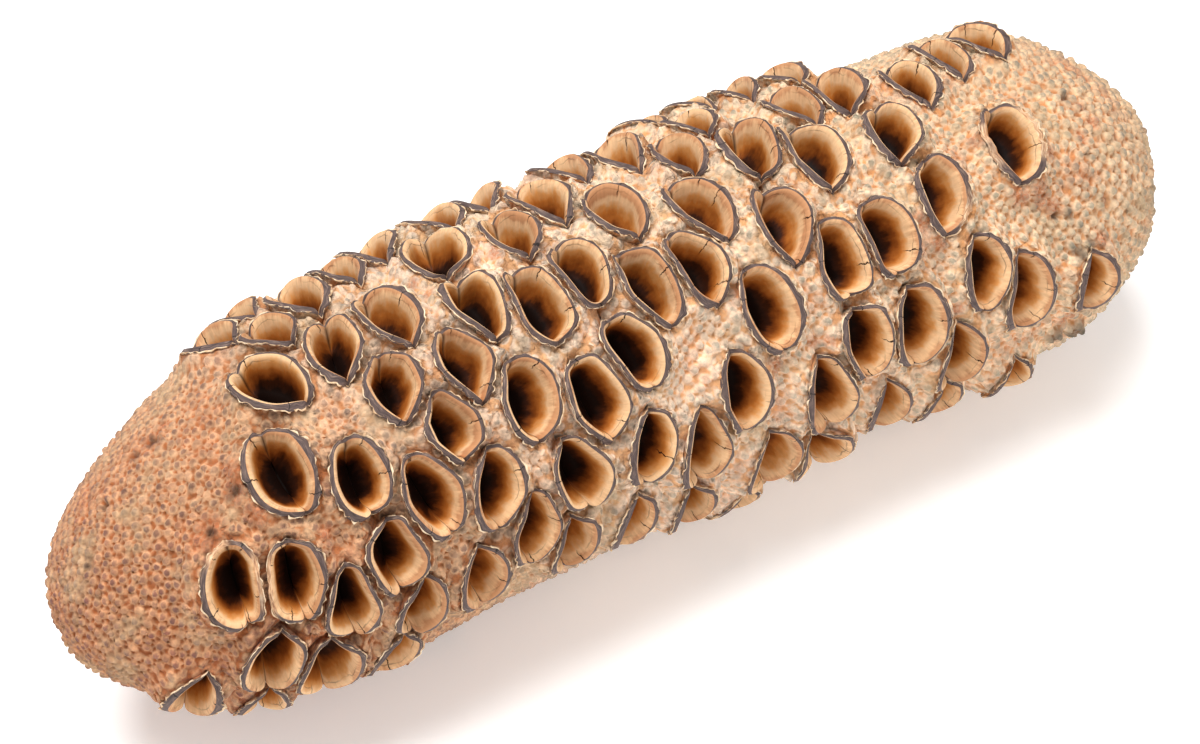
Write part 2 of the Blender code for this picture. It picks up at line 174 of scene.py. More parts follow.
# Places of the follicles.
# Each seed pair grew in a woody follicle that split into two valves. Those that the photograph
# shows are placed by their two notches, and a seeded rule sets the others on the hidden side.
SIGHT_AZIMUTH = math.radians(-35.47)
SIGHT_ELEVATION = math.radians(40)
SIGHT_DISTANCE = 540 * MM
SIGHT_FOCAL = 2800.9
SIGHT_CENTRE = (639.1, 349.0)
SIGHT_STEP = 0.1 * MM
NOTCH_OVER_GROUND = 2.3 * MM

# Pixels of the two notches of each mouth
MOUTHS = (
    (254, 443, 299, 518), (221, 558, 243, 632), (306, 553, 322, 628), (281, 638, 262, 692),
    (327, 628, 322, 688), (230, 380, 300, 405), (323, 327, 346, 385), (370, 353, 401, 420),
    (362, 303, 413, 346), (274, 300, 316, 313), (240, 340, 290, 348), (194, 356, 224, 350),
    (236, 322, 256, 318), (322, 277, 356, 281), (364, 255, 398, 270), (427, 236, 457, 283),
    (422, 403, 457, 474), (440, 345, 480, 416), (458, 288, 503, 350), (342, 449, 370, 522),
    (405, 469, 447, 539), (491, 450, 501, 531), (397, 523, 410, 597), (355, 551, 368, 618),
    (420, 592, 408, 628), (482, 552, 483, 603), (539, 495, 531, 561), (575, 503, 568, 556),
    (510, 360, 540, 441), (570, 420, 600, 489), (583, 368, 622, 448), (503, 272, 551, 340),
    (491, 222, 529, 257), (413, 228, 453, 230), (466, 203, 490, 211), (506, 196, 557, 220),
    (546, 174, 591, 178), (549, 252, 598, 312), (606, 257, 660, 324), (578, 198, 635, 235),
    (600, 330, 646, 398), (594, 156, 640, 170), (650, 146, 690, 173), (668, 188, 727, 236),
    (668, 238, 718, 300), (680, 127, 716, 138), (730, 127, 761, 177), (776, 120, 822, 173),
    (770, 101, 818, 121), (808, 82, 845, 115), (763, 190, 796, 262), (744, 270, 783, 345),
    (816, 222, 846, 300), (872, 107, 899, 161), (863, 202, 896, 271), (922, 155, 944, 228),
    (884, 70, 926, 100), (915, 48, 958, 73), (989, 108, 1018, 175), (846, 303, 860, 373),
    (908, 283, 913, 357), (957, 322, 942, 378), (977, 235, 984, 304), (1018, 250, 1013, 318),
    (1091, 251, 1080, 298), (825, 367, 826, 428), (888, 382, 874, 417), (943, 382, 924, 402),
    (732, 355, 742, 427), (652, 411, 644, 481), (707, 404, 700, 477), (777, 431, 764, 480),
    (694, 484, 680, 518), (641, 498, 620, 540), (803, 418, 806, 460), (197, 688, 178, 710),
    (262, 700, 252, 714), (402, 645, 385, 662), (750, 485, 735, 502), (1012, 358, 990, 375),
    (752, 90, 780, 86), (722, 98, 752, 98), (618, 132, 652, 124), (682, 114, 702, 110),
    (957, 46, 980, 44),
)

MOUTH_LENGTH = (11.5 * MM, 17.0 * MM)
MOUTH_SHARE = 0.66
MOUTH_TILT = math.radians(25)
FOOT_ALONG = 0.9 * MM
FOOT_ACROSS = 1.3 * MM
FOOT_SHARE = 0.92

SEED = 36
DARTS = 9000
DART_GAP = 0.97
HIDDEN_STATIONS = (32 * MM, 227 * MM)
HIDDEN_FACING = -0.58
HIDDEN_LENGTH = (13.5 * MM, 16.5 * MM)
HIDDEN_TILT = math.radians(14)
EASE_ROUNDS = 60
EASE_SHARE = 0.3
SEEN_GAP = 0.84
LEAST_NEAR = 0.2
FAR_DEPTH = 15 * MM
FAR = 9.0
NEIGHBOUR = 2.0
TINY = 1e-6
CUT_POWER = 9


def sight_frame():
    """Eye, right, up and forward directions of the photograph's viewpoint."""
    flat = math.cos(SIGHT_ELEVATION)
    back = np.array([math.sin(SIGHT_AZIMUTH) * flat, -math.cos(SIGHT_AZIMUTH) * flat,
                     math.sin(SIGHT_ELEVATION)])
    right = np.array([math.cos(SIGHT_AZIMUTH), math.sin(SIGHT_AZIMUTH), 0.0])
    return np.array(AXIS_PLACE) + back * SIGHT_DISTANCE, right, np.cross(back, right), -back


def cast(pixels):
    """Unbent points where the sight lines meet the ground, raised to the notches' height.

    A line that misses takes the point where it comes closest."""
    eye, right, up, forward = sight_frame()
    u = (pixels[:, 0] - SIGHT_CENTRE[0]) / SIGHT_FOCAL
    v = (SIGHT_CENTRE[1] - pixels[:, 1]) / SIGHT_FOCAL
    ray = forward + u[:, None] * right + v[:, None] * up
    reach = np.arange(SIGHT_DISTANCE - LENGTH / 2, SIGHT_DISTANCE + LENGTH / 2, SIGHT_STEP)
    track = unbend(eye + reach[None, :, None] * ray[:, None, :])
    swell = NOTCH_OVER_GROUND
    s = (track[..., 0] + swell) * LENGTH / (LENGTH + 2 * swell)
    wall = np.interp(s, S_TABLE, R_TABLE) * (RADIUS + swell) / RADIUS
    past_end = np.maximum(np.abs(s - LENGTH / 2) - LENGTH / 2, 0)
    outside = np.hypot(track[..., 1], track[..., 2]) - wall + FAR * past_end
    inside = outside < 0
    hit = np.where(inside.any(1), inside.argmax(1), outside.argmin(1))
    return track[np.arange(len(hit)), hit]


def seen_follicles():
    """Arc, phi, tilt and length of the follicles that the photograph shows."""
    mouths = np.array(MOUTHS, float)
    start, end = cast(mouths[:, :2]), cast(mouths[:, 2:])
    arc, phi = ground_place((start + end) / 2)
    _, _, around, along = frame_at(arc, phi)
    chord = end - start
    chord *= np.sign((chord * around).sum(1))[:, None]
    tilt = np.arctan2((chord * along).sum(1), (chord * around).sum(1))
    length = np.linalg.norm(chord, axis=1)
    return np.stack([arc, phi, np.clip(tilt, -MOUTH_TILT, MOUTH_TILT),
                     np.clip(length, *MOUTH_LENGTH)], 1)


def footing(follicles):
    """Half length and half width of each follicle at its foot."""
    along = follicles[:, 3] / 2 + FOOT_ALONG
    across = MOUTH_SHARE * follicles[:, 3] / 2 + FOOT_ACROSS
    return np.stack([along, across], 1)


def follicle_axes(follicles):
    """Middle, normal, and the directions along and across each follicle's slit."""
    point, normal, around, along = frame_at(follicles[:, 0], follicles[:, 1])
    c, d = np.cos(follicles[:, 2])[:, None], np.sin(follicles[:, 2])[:, None]
    return point, normal, np.stack([c * around + d * along, c * along - d * around], 1)


def nearness(follicles, others):
    """Offsets of others in each follicle's own axes, and how near they are, 1 where feet touch."""
    point, normal, axes = follicle_axes(follicles)
    apart = frame_at(others[:, 0], others[:, 1])[0][None] - point[:, None]
    offset = np.einsum("nmk,nak->nma", apart, axes)
    room = footing(follicles)[:, None] + footing(others)[None]
    near = np.hypot(*np.moveaxis(offset / room, -1, 0))
    depth = -np.einsum("nmk,nk->nm", apart, normal)
    return offset, np.where(depth > FAR_DEPTH, FAR, near), room


def hidden_follicles(seen, rng):
    """Darts on the side away from the eye, kept where they stay clear of the others."""
    eye = sight_frame()[0]
    found = seen.copy()
    for _ in range(DARTS):
        arc = np.interp(rng.random() * AREA_TABLE[-1], AREA_TABLE, ARC_TABLE)
        phi = rng.uniform(-math.pi, math.pi)
        tilt = rng.uniform(-HIDDEN_TILT, HIDDEN_TILT)
        dart = np.array([[arc, phi, tilt, rng.uniform(*HIDDEN_LENGTH)]])
        point, normal, _, _ = frame_at(dart[:, 0], dart[:, 1])
        sight = eye - bend(point)[0]
        facing = normal[0] @ sight / np.linalg.norm(sight)
        in_band = HIDDEN_STATIONS[0] < point[0, 0] < HIDDEN_STATIONS[1]
        if facing < HIDDEN_FACING and in_band and nearness(dart, found)[1].min() > DART_GAP:
            found = np.concatenate([found, dart])
    return found


def eased(follicles, fixed):
    """Follicles pushed apart until their feet barely meet.

    The first ones, which are fixed in number, yield only to one another, and only where
    they overlap much."""
    gap = np.ones((len(follicles), len(follicles)))
    gap[:fixed, :fixed] = SEEN_GAP
    gap[:fixed, fixed:] = 0
    for _ in range(EASE_ROUNDS):
        offset, near, _ = nearness(follicles, follicles)
        np.fill_diagonal(near, FAR)
        push = np.clip(gap - near, 0, None) / np.maximum(near, LEAST_NEAR)
        shift = -(push[..., None] * offset).sum(1) * EASE_SHARE
        c, d = np.cos(follicles[:, 2]), np.sin(follicles[:, 2])
        follicles[:, 1] += (c * shift[:, 0] - d * shift[:, 1]) / radius_at(follicles[:, 0])
        follicles[:, 0] += d * shift[:, 0] + c * shift[:, 1]
    return follicles


def foot_outlines(follicles, circle):
    """Foot ellipses in each follicle's own axes, drawn in before the line midway to a neighbour.

    The limits of all neighbours and of the ellipse are blended by a power mean, which keeps the
    outline round. The second result says how much of the ellipse is left in each direction."""
    foot = footing(follicles)
    offset, near, room = nearness(follicles, follicles)
    np.fill_diagonal(near, FAR)
    scaled = offset / foot[:, None]
    share = FOOT_SHARE * (foot[:, None] / room).mean(-1)
    reach = np.einsum("nma,ka->nmk", scaled, circle)
    bound = ((scaled ** 2).sum(-1) * share)[..., None]
    limit = np.where(reach > TINY, bound / np.maximum(reach, TINY), FAR)
    limit[near > NEIGHBOUR] = FAR
    cut = (1 + (limit ** -CUT_POWER).sum(1)) ** (-1 / CUT_POWER)
    return circle[None] * cut[..., None] * foot[:, None], cut


def on_follicle(follicles, flat):
    """Arc and phi of points given in each follicle's tangent plane."""
    point, _, axes = follicle_axes(follicles)
    place = point[:, None] + np.einsum("nka,nac->nkc", flat, axes)
    arc, phi = ground_place(place)
    middle = follicles[:, 1][:, None]
    return arc, middle + wrapped(phi - middle)


seen = seen_follicles()
follicles = eased(hidden_follicles(seen, np.random.default_rng(SEED)), len(seen))
follicle_count = len(follicles)


# Rims of the follicles.
# The mouth of a follicle is an oval with a notch at each end of the slit, where its two valves
# part. Each valve opened a little its own way, and its rim flares out over the ground.
COLUMNS = 64
BUNCHING = 0.12
FULLNESS = 1.12
POINTEDNESS = 0.35
VALVE_WIDTH = (0.93, 1.08)
VALVE_HEIGHT = (0.90, 1.10)
RIM_HEIGHT = 5.2 * MM
TIP_LOWER = 0.86
BASE_HIGHER = 1.06
HEIGHT_STATIONS = (60 * MM, 150 * MM)
NOTCH_HEIGHT = 1.9 * MM
RIM_FALL = 0.7
NICK_DEPTH = 0.55 * MM
NICK_WIDTH = 0.10
CRACK_SPACING = 9 * MM
CRACK_WIDTH = 0.16 * MM
CRACK_CORE = 0.4
CRACK_LENGTH = 6 * MM
CRACK_FADE = (-2.4 * MM, -1.2 * MM)
CRACK_WANDER = 1.2 * MM
RIM_ROOM = 0.7 * MM
WAVE_COUNTS = np.array([2, 3, 5, 8])
WAVE_SHARES = np.array([0.018, 0.014, 0.008, 0.006])
LUMP_COUNTS = np.array([7, 12, 17, 23])
LUMP_SHARE = 0.085
RIM_SEED = 61
TEAR_DEPTH = 0.9 * MM
TEAR_MEAN = 0.75
TEAR_COUNTS = np.array([23, 41])
TEAR_SHARES = np.array([0.25, 0.2])
RIM_WAY_STEP = 60 * MM

# Pixel and radius in millimetres of the torn places
TEARS = (
    (1016, 120, 2.2), (1024, 135, 2.6), (1036, 150, 2.0), (984, 135, 2.0), (996, 150, 2.2),
    (966, 195, 2.0), (957, 212, 2.2), (252, 575, 2.5), (260, 592, 2.5), (263, 608, 2.0),
    (207, 562, 2.5), (326, 562, 1.8), (859, 390, 2.2), (858, 405, 2.2), (487, 318, 1.6),
)

rim_rng = np.random.default_rng(RIM_SEED)
valve_width = rim_rng.uniform(*VALVE_WIDTH, (follicle_count, 2))
valve_height = rim_rng.uniform(*VALVE_HEIGHT, (follicle_count, 2))
valve_height *= np.interp(station_at(follicles[:, :1]), HEIGHT_STATIONS, (TIP_LOWER, BASE_HIGHER))
wave_phases = rim_rng.uniform(0, TURN, (follicle_count, len(WAVE_COUNTS)))
lump_phases = rim_rng.uniform(0, TURN, (follicle_count, len(LUMP_COUNTS)))


def column_angles(count):
    """Angles round the mouth, drawn together towards the notches at 0 and half a turn."""
    even = np.arange(count) * TURN / count
    return even - BUNCHING * np.sin(2 * even)


def by_valve(values, theta):
    """The first value on the valve towards the base, the second on the one towards the tip."""
    return np.where(np.sin(theta) >= 0, values[:, :1], values[:, 1:])


def mouth_rings(theta):
    """Crest, foot and how open the foot is, at angles round each follicle.

    The crest is an oval, pointed at the first notch and full at the other, with a width for
    each valve and four small waves, drawn in where the foot outline leaves less room."""
    circle = np.stack([np.cos(theta), np.sin(theta)], -1)
    foot, cut = foot_outlines(follicles, circle)
    waves = np.cos(theta[None, :, None] * WAVE_COUNTS + wave_phases[:, None]) @ WAVE_SHARES
    half = follicles[:, 3:4] / 2 * (1 + waves)
    fullness = FULLNESS + POINTEDNESS * circle[:, 0]
    across = np.sign(circle[:, 1]) * np.abs(circle[:, 1]) ** fullness
    crest = np.stack([half * circle[:, 0],
                      half * MOUTH_SHARE * across * by_valve(valve_width, theta)], -1)
    size = np.linalg.norm(crest, axis=-1, keepdims=True)
    room = np.linalg.norm(foot, axis=-1, keepdims=True) - RIM_ROOM
    return crest * np.minimum(1, room / size), foot, cut


def spot_share(points, spots):
    """How far unbent points lie in spots, given by pixel and radius in millimetres.

    It is 1 in the middle of a spot and falls to nothing beyond its radius."""
    spots = np.array(spots, float)
    middle = frame_at(*ground_place(cast(spots[:, :2])))[0]
    apart = np.linalg.norm(points[..., None, :] - middle, axis=-1)
    return np.exp(-(apart / (spots[:, 2] * MM)) ** 4)


def torn_share(crest):
    """How much of the rim is torn away above each point of the crests."""
    return spot_share(frame_at(*on_follicle(follicles, crest))[0], TEARS).max(-1)


def rim_height(sine, valve_share):
    """Height of a whole rim over the ground: it swells from the notches, where the sine is 0."""
    return NOTCH_HEIGHT + (valve_share * RIM_HEIGHT - NOTCH_HEIGHT) * np.abs(sine) ** RIM_FALL


def crest_heights(theta, crest):
    """Height of the crest over the ground: the rim's, less a nick where the valves part.

    Where a rim is torn its crest is lower and ragged."""
    whole = rim_height(np.sin(theta), by_valve(valve_height, theta))
    nick = NICK_DEPTH * np.exp(-(np.sin(theta) / NICK_WIDTH) ** 2)
    ragged = TEAR_DEPTH * (TEAR_MEAN + TEAR_SHARES @ np.sin(TEAR_COUNTS[:, None] * theta))
    return whole - nick - ragged * torn_share(crest)


def rim_lumps(theta):
    """How much further out the rim's outer edge stands, as a share: four waves of equal size."""
    waves = np.cos(theta[None, :, None] * LUMP_COUNTS + lump_phases[:, None])
    return LUMP_SHARE * waves.sum(-1)


def ring_places(crest, foot, shares, heights):
    """Places of rings between crest and foot: share 0 is the crest, 1 the foot.

    Shares and heights have one row for each ring, and the same columns as the crest."""
    sets, rows, columns = heights.shape
    flat = crest[:, None] + (foot - crest)[:, None] * shares[..., None]
    arc, phi = on_follicle(follicles, flat.reshape(sets, rows * columns, 2))
    return raised(arc, phi, heights.reshape(sets, -1)).reshape(sets, rows, columns, 3)


def ring_quads(places):
    """Quads from each ring to the next, round every set of rings, so that they face out and up."""
    sets, rows, columns = places.shape[:3]
    first = np.arange(sets)[:, None, None] * rows * columns
    low = first + np.arange(rows - 1)[None, :, None] * columns
    here = np.arange(columns)[None, None]
    after = (here + 1) % columns
    quads = [low + here, low + after, low + columns + after, low + columns + here]
    return np.stack(quads, -1).reshape(-1, 4)


def ring_uvs(around, across):
    """Texture places of the quads' corners: metres round the rim, and metres across the rings."""
    beyond = np.roll(across, -1, axis=2)
    start, end = (np.broadcast_to(way[:, None], across[:, 1:].shape)
                  for way in (around[:, :-1], around[:, 1:]))
    corners = [(start, across[:, :-1]), (end, beyond[:, :-1]),
               (end, beyond[:, 1:]), (start, across[:, 1:])]
    return np.stack([np.stack(corner, -1) for corner in corners], -2).reshape(-1, 2)


def sums_after_first(steps):
    """Sums of the steps along the second axis, with a first sum of 0."""
    return np.concatenate([0 * steps[:, :1], np.cumsum(steps, axis=1)], 1)


def path_lengths(places):
    """Distance along each column from the first ring."""
    return sums_after_first(np.linalg.norm(np.diff(places, axis=1), axis=-1))


def rim_distances(ring):
    """Distance round each ring from its first column, with the whole way round as the last."""
    return sums_after_first(np.linalg.norm(np.roll(ring, -1, axis=1) - ring, axis=-1))


def linear(code):
    """Red, green, blue and 1 in linear light from an sRGB hex code."""
    shares = [int(code[k:k + 2], 16) / 255 for k in (1, 3, 5)]
    return (*[c / 12.92 if c <= 0.04045 else ((c + 0.055) / 1.055) ** 2.4 for c in shares], 1)


def feed(node, inputs):
    """Gives a node's inputs a value or another node's output.

    A list or tuple goes to the sockets in use, in their order, and a dictionary goes by name.
    A node given as an input stands for its first output in use."""
    if not isinstance(inputs, dict):
        inputs = dict(zip([k for k, socket in enumerate(node.inputs) if socket.enabled], inputs))
    for name, value in inputs.items():
        if isinstance(value, bpy.types.Node):
            value = next(output for output in value.outputs if output.enabled)
        if isinstance(value, bpy.types.NodeSocket):
            node.id_data.links.new(value, node.inputs[name])
        else:
            node.inputs[name].default_value = value


def add_node(material, kind, inputs=(), stops=(), **settings):
    """Adds a shader node with its settings and inputs, and a ramp's places and hex colours."""
    node = material.node_tree.nodes.new("ShaderNode" + kind)
    for name, value in settings.items():
        setattr(node, name, value)
    feed(node, inputs)
    for k, (place, code) in enumerate(stops):
        ramp = node.color_ramp.elements
        stop = ramp[k] if k < 2 else ramp.new(place)
        stop.position = place
        stop.color = linear(code)
    return node


def new_material(name, roughness):
    """An empty material with a Principled shader of that roughness, and its shader node."""
    material = bpy.data.materials.new(name)
    material.use_nodes = True
    shader = material.node_tree.nodes["Principled BSDF"]
    feed(shader, {"Roughness": roughness})
    return material, shader


def reckon(material, operation, *values):
    """A Math node: that operation on values or on other nodes."""
    return add_node(material, "Math", values, operation=operation)


def mix_colours(material, share, first, second):
    """The first colour where the share is 0, the second where it is 1."""
    return add_node(material, "Mix", [share, first, second], data_type="RGBA")


def noise(material, way, size, detail, roughness=0.5):
    """Noise along a way, with its broadest swings about that size in the way's own unit."""
    return add_node(material, "TexNoise", {
        "Vector": way, "Scale": 1 / size, "Detail": detail, "Roughness": roughness})


def relief(material, height, strength, depth, inputs=(), **settings):
    """A Bump node on that height, with its strength and its depth in metres."""
    return add_node(material, "Bump", {
        "Height": height, "Strength": strength, "Distance": depth, **dict(inputs)}, **settings)


def point_numbers(material, *keys):
    """By their names, the outputs that give numbers kept at a piece's points."""
    return {key: add_node(material, "Attribute", attribute_name=key).outputs["Fac"]
            for key in keys}


def crack_lines(material, way):
    """1 on thin cracks that cross the rim here and there and wander as they run down it.

    Each crack has its own length: it fades where the distance across the rings passes it."""
    wander = noise(material, way, CRACK_WANDER, 2)
    parts = add_node(material, "SeparateXYZ", [way]).outputs
    place = reckon(material, "MULTIPLY_ADD", wander, CRACK_WANDER, parts["X"])
    cell = add_node(material, "TexVoronoi", {"W": place, "Scale": 1 / CRACK_SPACING},
                    voronoi_dimensions="1D")
    width = CRACK_WIDTH / CRACK_SPACING
    line = add_node(material, "MapRange", [cell, CRACK_CORE * width, width, 1, 0])
    reach = add_node(material, "SeparateXYZ", [cell.outputs["Color"]])
    past = reckon(material, "MULTIPLY_ADD", reach, -CRACK_LENGTH, parts["Y"])
    down = add_node(material, "MapRange", [past, *CRACK_FADE, 1, 0])
    return reckon(material, "MULTIPLY", line, down)


def put_in_scene(name, data):
    """A new object of that name and data, linked to the scene."""
    made = bpy.data.objects.new(name, data)
    bpy.context.scene.collection.objects.link(made)
    return made


def new_piece(name, places, faces, material, numbers=(), uvs=None):
    """A smooth mesh piece of the cone, at the origin and on its body.

    Numbers are attributes of its points. An axis along which they are even may be left out."""
    mesh = bpy.data.meshes.new(name)
    mesh.from_pydata(places.reshape(-1, 3).tolist(), [], np.array(faces, object).tolist())
    mesh.shade_smooth()
    for key, values in dict(numbers).items():
        layer = mesh.attributes.new(key, "FLOAT", "POINT")
        values = np.broadcast_to(values, places.shape[:-1])
        layer.data.foreach_set("value", values.astype(np.float32).ravel())
    if uvs is not None:
        layer = mesh.uv_layers.new(name="rim_way")
        layer.data.foreach_set("uv", uvs.astype(np.float32).ravel())
    mesh.materials.append(material)
    piece = put_in_scene(name, mesh)
    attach(piece, "root")
    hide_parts("cone")


theta = column_angles(COLUMNS)
crest, foot, openness = mouth_rings(theta)
crest_height = crest_heights(theta, crest)
torn = torn_share(crest)
rim_way = rim_distances(raised(*on_follicle(follicles, crest), crest_height))
rim_way += np.arange(follicle_count)[:, None] * RIM_WAY_STEP


# Felted ground with the stumps of the flowers.
# Between the follicles the cone is covered with short felt, cream to orange tan, from which the
# stumps of the old flowers stand in spirals as small knobs, each with a grey or mauve scar on top.
# The felt is one surface, kept as two meshes that meet edge to edge, to hold each one's size down.
COLLAR_UNDER = 0.9 * MM
COLLAR_REACH = 2.5 * MM
COLLAR_FALL = 1.3
COLLAR_END = 4
COLLAR_OPEN = (0.84, 0.97)
CROWD_REACH = 1.6 * MM
GAP_DEPTH = 1.6 * MM
FOOT_IN = 0.5
KNOB_STATIONS = (0, 48, 70, 200, 228, 248)
KNOB_STEPS = (2.05, 2.05, 2.1, 2.25, 2.8, 2.8)
KNOB_HEIGHTS = (0.60, 0.70, 0.85, 0.95, 1.15, 1.15)
KNOB_JITTER = 0.165
KNOB_WOBBLE = (0.93, 1.07)
KNOB_VARIETY = (0.75, 1.25)
KNOB_TOPS = (0.75, 1.08)
DIMPLED_SHARE = 0.3
KNOB_TONE = (1.0, 0.09)
KNOB_SCAR = (0.75, 0.28)
KNOB_CLEARANCE = 0.05 * MM
POINT_CLEARANCE = -0.2 * MM
RING_POINTS = (6, 8)
RING_SHARES = (0.46, 0.84)
RING_RISES = (0.9, 0.22)
CELL_POWER = 5
CELL_CAP = 0.66
VALLEY_WAY = 1.15
VALLEY_DEPTH = 0.25 * MM
LOOP_TONE = 0.90
PLAIN_SCAR = 0.7
SWELL_HEIGHT = 0.15 * MM
SWELL_WAVES = ((9 * MM, 2, 0), (6 * MM, -3, 1.3), (14 * MM, 5, 4.1))
FUZZ = 0.6 * MM
GRAIN = 1.1 * MM
BEAD = 2.0 * MM
BEAD_WAY = 1.6
BLOTCH = 9 * MM
POLE_POINTS = 8
POLE_NUMBERS = {"knob": 0.5, "tone": 1.0}
SCAR_RADIUS = 5.0 * MM
SCAR_POINTS = 24
COPY_MARGIN = 1.6
MERGE = 1e-9
# Painted light: how far the side facing up in the view moves towards the paler felt colours
PAINTED_LIGHT_LEAN = 0.09
GROUND_SEED = 71

# Pixel and radius of the rusty places, then the same and the height of the dents and stubs
RUST_SPOTS = (
    (150, 431, 1.2), (138, 448, 2.4), (121, 463, 1.6), (225, 480, 2.0), (228, 500, 2.6),
    (251, 519, 2.6), (202, 543, 3.2), (320, 540, 1.6), (190, 552, 2.0), (494, 258, 1.7),
    (427, 296, 1.2), (412, 286, 1.0), (775, 362, 2.6), (827, 337, 1.1), (816, 340, 1.3),
    (830, 357, 1.5), (955, 305, 1.3), (1016, 181, 2.0), (1038, 183, 2.0), (1057, 203, 2.2),
    (1110, 194, 1.2), (1082, 95, 1.3), (1096, 113, 2.0), (1084, 128, 1.6), (971, 138, 1.7),
    (1046, 146, 2.0), (917, 221, 2.6), (938, 238, 2.2), (1101, 234, 1.6), (1068, 316, 3.0),
    (1020, 190, 2.4), (1043, 195, 2.2),
)
DARK_SPOTS = (
    (91, 516, 0.9, -1.1), (138, 448, 1.3, -0.6), (121, 463, 0.9, -0.8), (75, 578, 0.7, -0.6),
    (1059, 211, 0.8, -1.0), (228, 500, 1.2, -0.4), (202, 543, 1.1, -0.6), (242, 493, 1.3, -0.3),
    (1066, 85, 1.1, -0.3), (1112, 194, 0.7, -0.6), (1076, 326, 2.4, 2.0), (1057, 333, 2.2, 1.8),
    (829, 357, 0.9, -0.6), (1090, 240, 1.2, 0.3), (1076, 247, 1.4, 0.3), (1072, 208, 1.3, 0.3),
)

ground_rng = np.random.default_rng(GROUND_SEED)


def station_value(arc, values):
    """Value at a place along the cone, from values in millimetres at the knob stations."""
    return np.interp(station_at(arc), np.array(KNOB_STATIONS) * MM, np.array(values) * MM)


def unrolled(arc, phi):
    """Plane in which small shapes keep their form: phi across, arc over radius summed upwards."""
    return np.stack([phi, np.interp(arc, ARC_TABLE, HEIGHT_TABLE)], -1)


def ground_triangles(flat, loops):
    """Triangles between the loops in the unrolled plane, closed round the cone.

    Copies one turn away on either side stand in for the far edge, and each triangle counts
    once, where its middle lies within the one turn."""
    copies = np.concatenate([flat - [TURN, 0], flat, flat + [TURN, 0]])
    used = np.flatnonzero(np.abs(copies[:, 0]) < math.pi + COPY_MARGIN)
    place = np.full(len(copies), -1)
    place[used] = np.arange(len(used))
    rings = [place[loop + k * len(flat)] for k in range(3) for loop in loops]
    rings = [ring.tolist() for ring in rings if ring.min() >= 0]
    result = delaunay_2d_cdt([Vector(p) for p in copies[used]], [], rings, 0, MERGE, True)
    if len(result[0]) != len(used):
        raise ValueError("two feet cross in the unrolled plane")
    order = np.array([ids[0] for ids in result[3]])
    faces = order[np.array([face for face, ring in zip(result[2], result[5]) if not ring])]
    middle = copies[used][faces].mean(1)[:, 0]
    faces = faces[(middle >= -math.pi) & (middle < math.pi)]
    return used[faces] % len(flat)


def knob_places():
    """Knob tops on a golden-angle spiral whose density follows the spacing along the cone."""
    middle = (ARC_TABLE[1:] + ARC_TABLE[:-1]) / 2
    cell = station_value(middle, KNOB_STEPS) ** 2 * math.sqrt(3) / 2
    tally = running_sum(np.diff(AREA_TABLE) / cell)
    order = np.arange(int(tally[-1]))
    arc = np.interp(order + 0.5, tally, ARC_TABLE)
    phi = order * math.pi * (3 - math.sqrt(5))
    step = station_value(arc, KNOB_STEPS) * KNOB_JITTER
    arc += ground_rng.normal(0, 1, len(arc)) * step
    phi += ground_rng.normal(0, 1, len(arc)) * step / np.maximum(radius_at(arc), POLE_RADIUS)
    at_base = arc > ARC_TABLE[-1] / 2
    bare = np.where(at_base, SCAR_RADIUS, POLE_RADIUS) + station_value(arc, KNOB_STEPS) / 2
    keep = radius_at(arc) > bare
    return arc[keep], wrapped(phi[keep])


def near_feet(arc, phi):
    """Distance of ground points out from the nearest foot ellipse, less than 0 inside one, and
    the height of the collar of felt that climbs the valves there.

    A collar starts a little under the rim at its own side of the follicle, and dies away with
    the distance. Where two collars meet, the higher one counts."""
    point = frame_at(arc, phi)[0]
    centre, normal, axes = follicle_axes(follicles)
    half_sizes = footing(follicles)
    nearest, collar = np.full(len(arc), FAR), np.zeros(len(arc))
    for k in range(follicle_count):
        offset = point - centre[k]
        flat = offset @ axes[k].T
        share = np.linalg.norm(flat / half_sizes[k], axis=1)
        gap = np.linalg.norm(flat, axis=1) * (1 - 1 / np.maximum(share, TINY))
        gap[offset @ normal[k] < -FAR_DEPTH] = FAR
        nearest = np.minimum(nearest, gap)
        close = gap < COLLAR_END * COLLAR_REACH
        side = flat[close] / half_sizes[k]
        start = rim_height(side[:, 1] / np.linalg.norm(side, axis=1),
                           np.where(side[:, 1] >= 0, *valve_height[k])) - COLLAR_UNDER
        fade = np.exp(-(np.maximum(gap[close], 0) / COLLAR_REACH) ** COLLAR_FALL)
        collar[close] = np.maximum(collar[close], start * fade)
    return nearest, collar


def end_loop(radius, at_base, count):
    """Arc and phi of a ring of that radius round the tip or the base."""
    quarter = PROFILE_STEPS // 4
    rows = slice(None, -quarter, -1) if at_base else slice(quarter)
    arc = np.interp(radius, R_TABLE[rows], ARC_TABLE[rows])
    return np.full(count, arc), (np.arange(count) + 0.5) * TURN / count - math.pi


def cell_reach(faces, arc, phi, count, turn):
    """Reach of each of the first points towards the borders midway to the points around it.

    Turn holds the directions. The borders are blended by a power mean, which rounds the cell."""
    pairs = np.concatenate([faces[:, [0, 1]], faces[:, [1, 2]], faces[:, [2, 0]]])
    pairs = np.concatenate([pairs, pairs[:, ::-1]])
    pairs = pairs[pairs[:, 0] < count]
    first, other = pairs.T
    step = np.stack([wrapped(phi[other] - phi[first]) * radius_at(arc[first]),
                     arc[other] - arc[first]], -1)
    towards = step[:, :1] * np.cos(turn[first]) + step[:, 1:] * np.sin(turn[first])
    border = (step ** 2).sum(1)[:, None] / 2 / np.maximum(towards, TINY)
    cap = CELL_CAP * station_value(arc[:count], KNOB_STEPS)[:, None] * np.ones(turn.shape)
    total = cap ** -CELL_POWER
    np.add.at(total, first, 0.5 * np.where(towards > TINY, border, FAR) ** -CELL_POWER)
    return total ** (-1 / CELL_POWER)


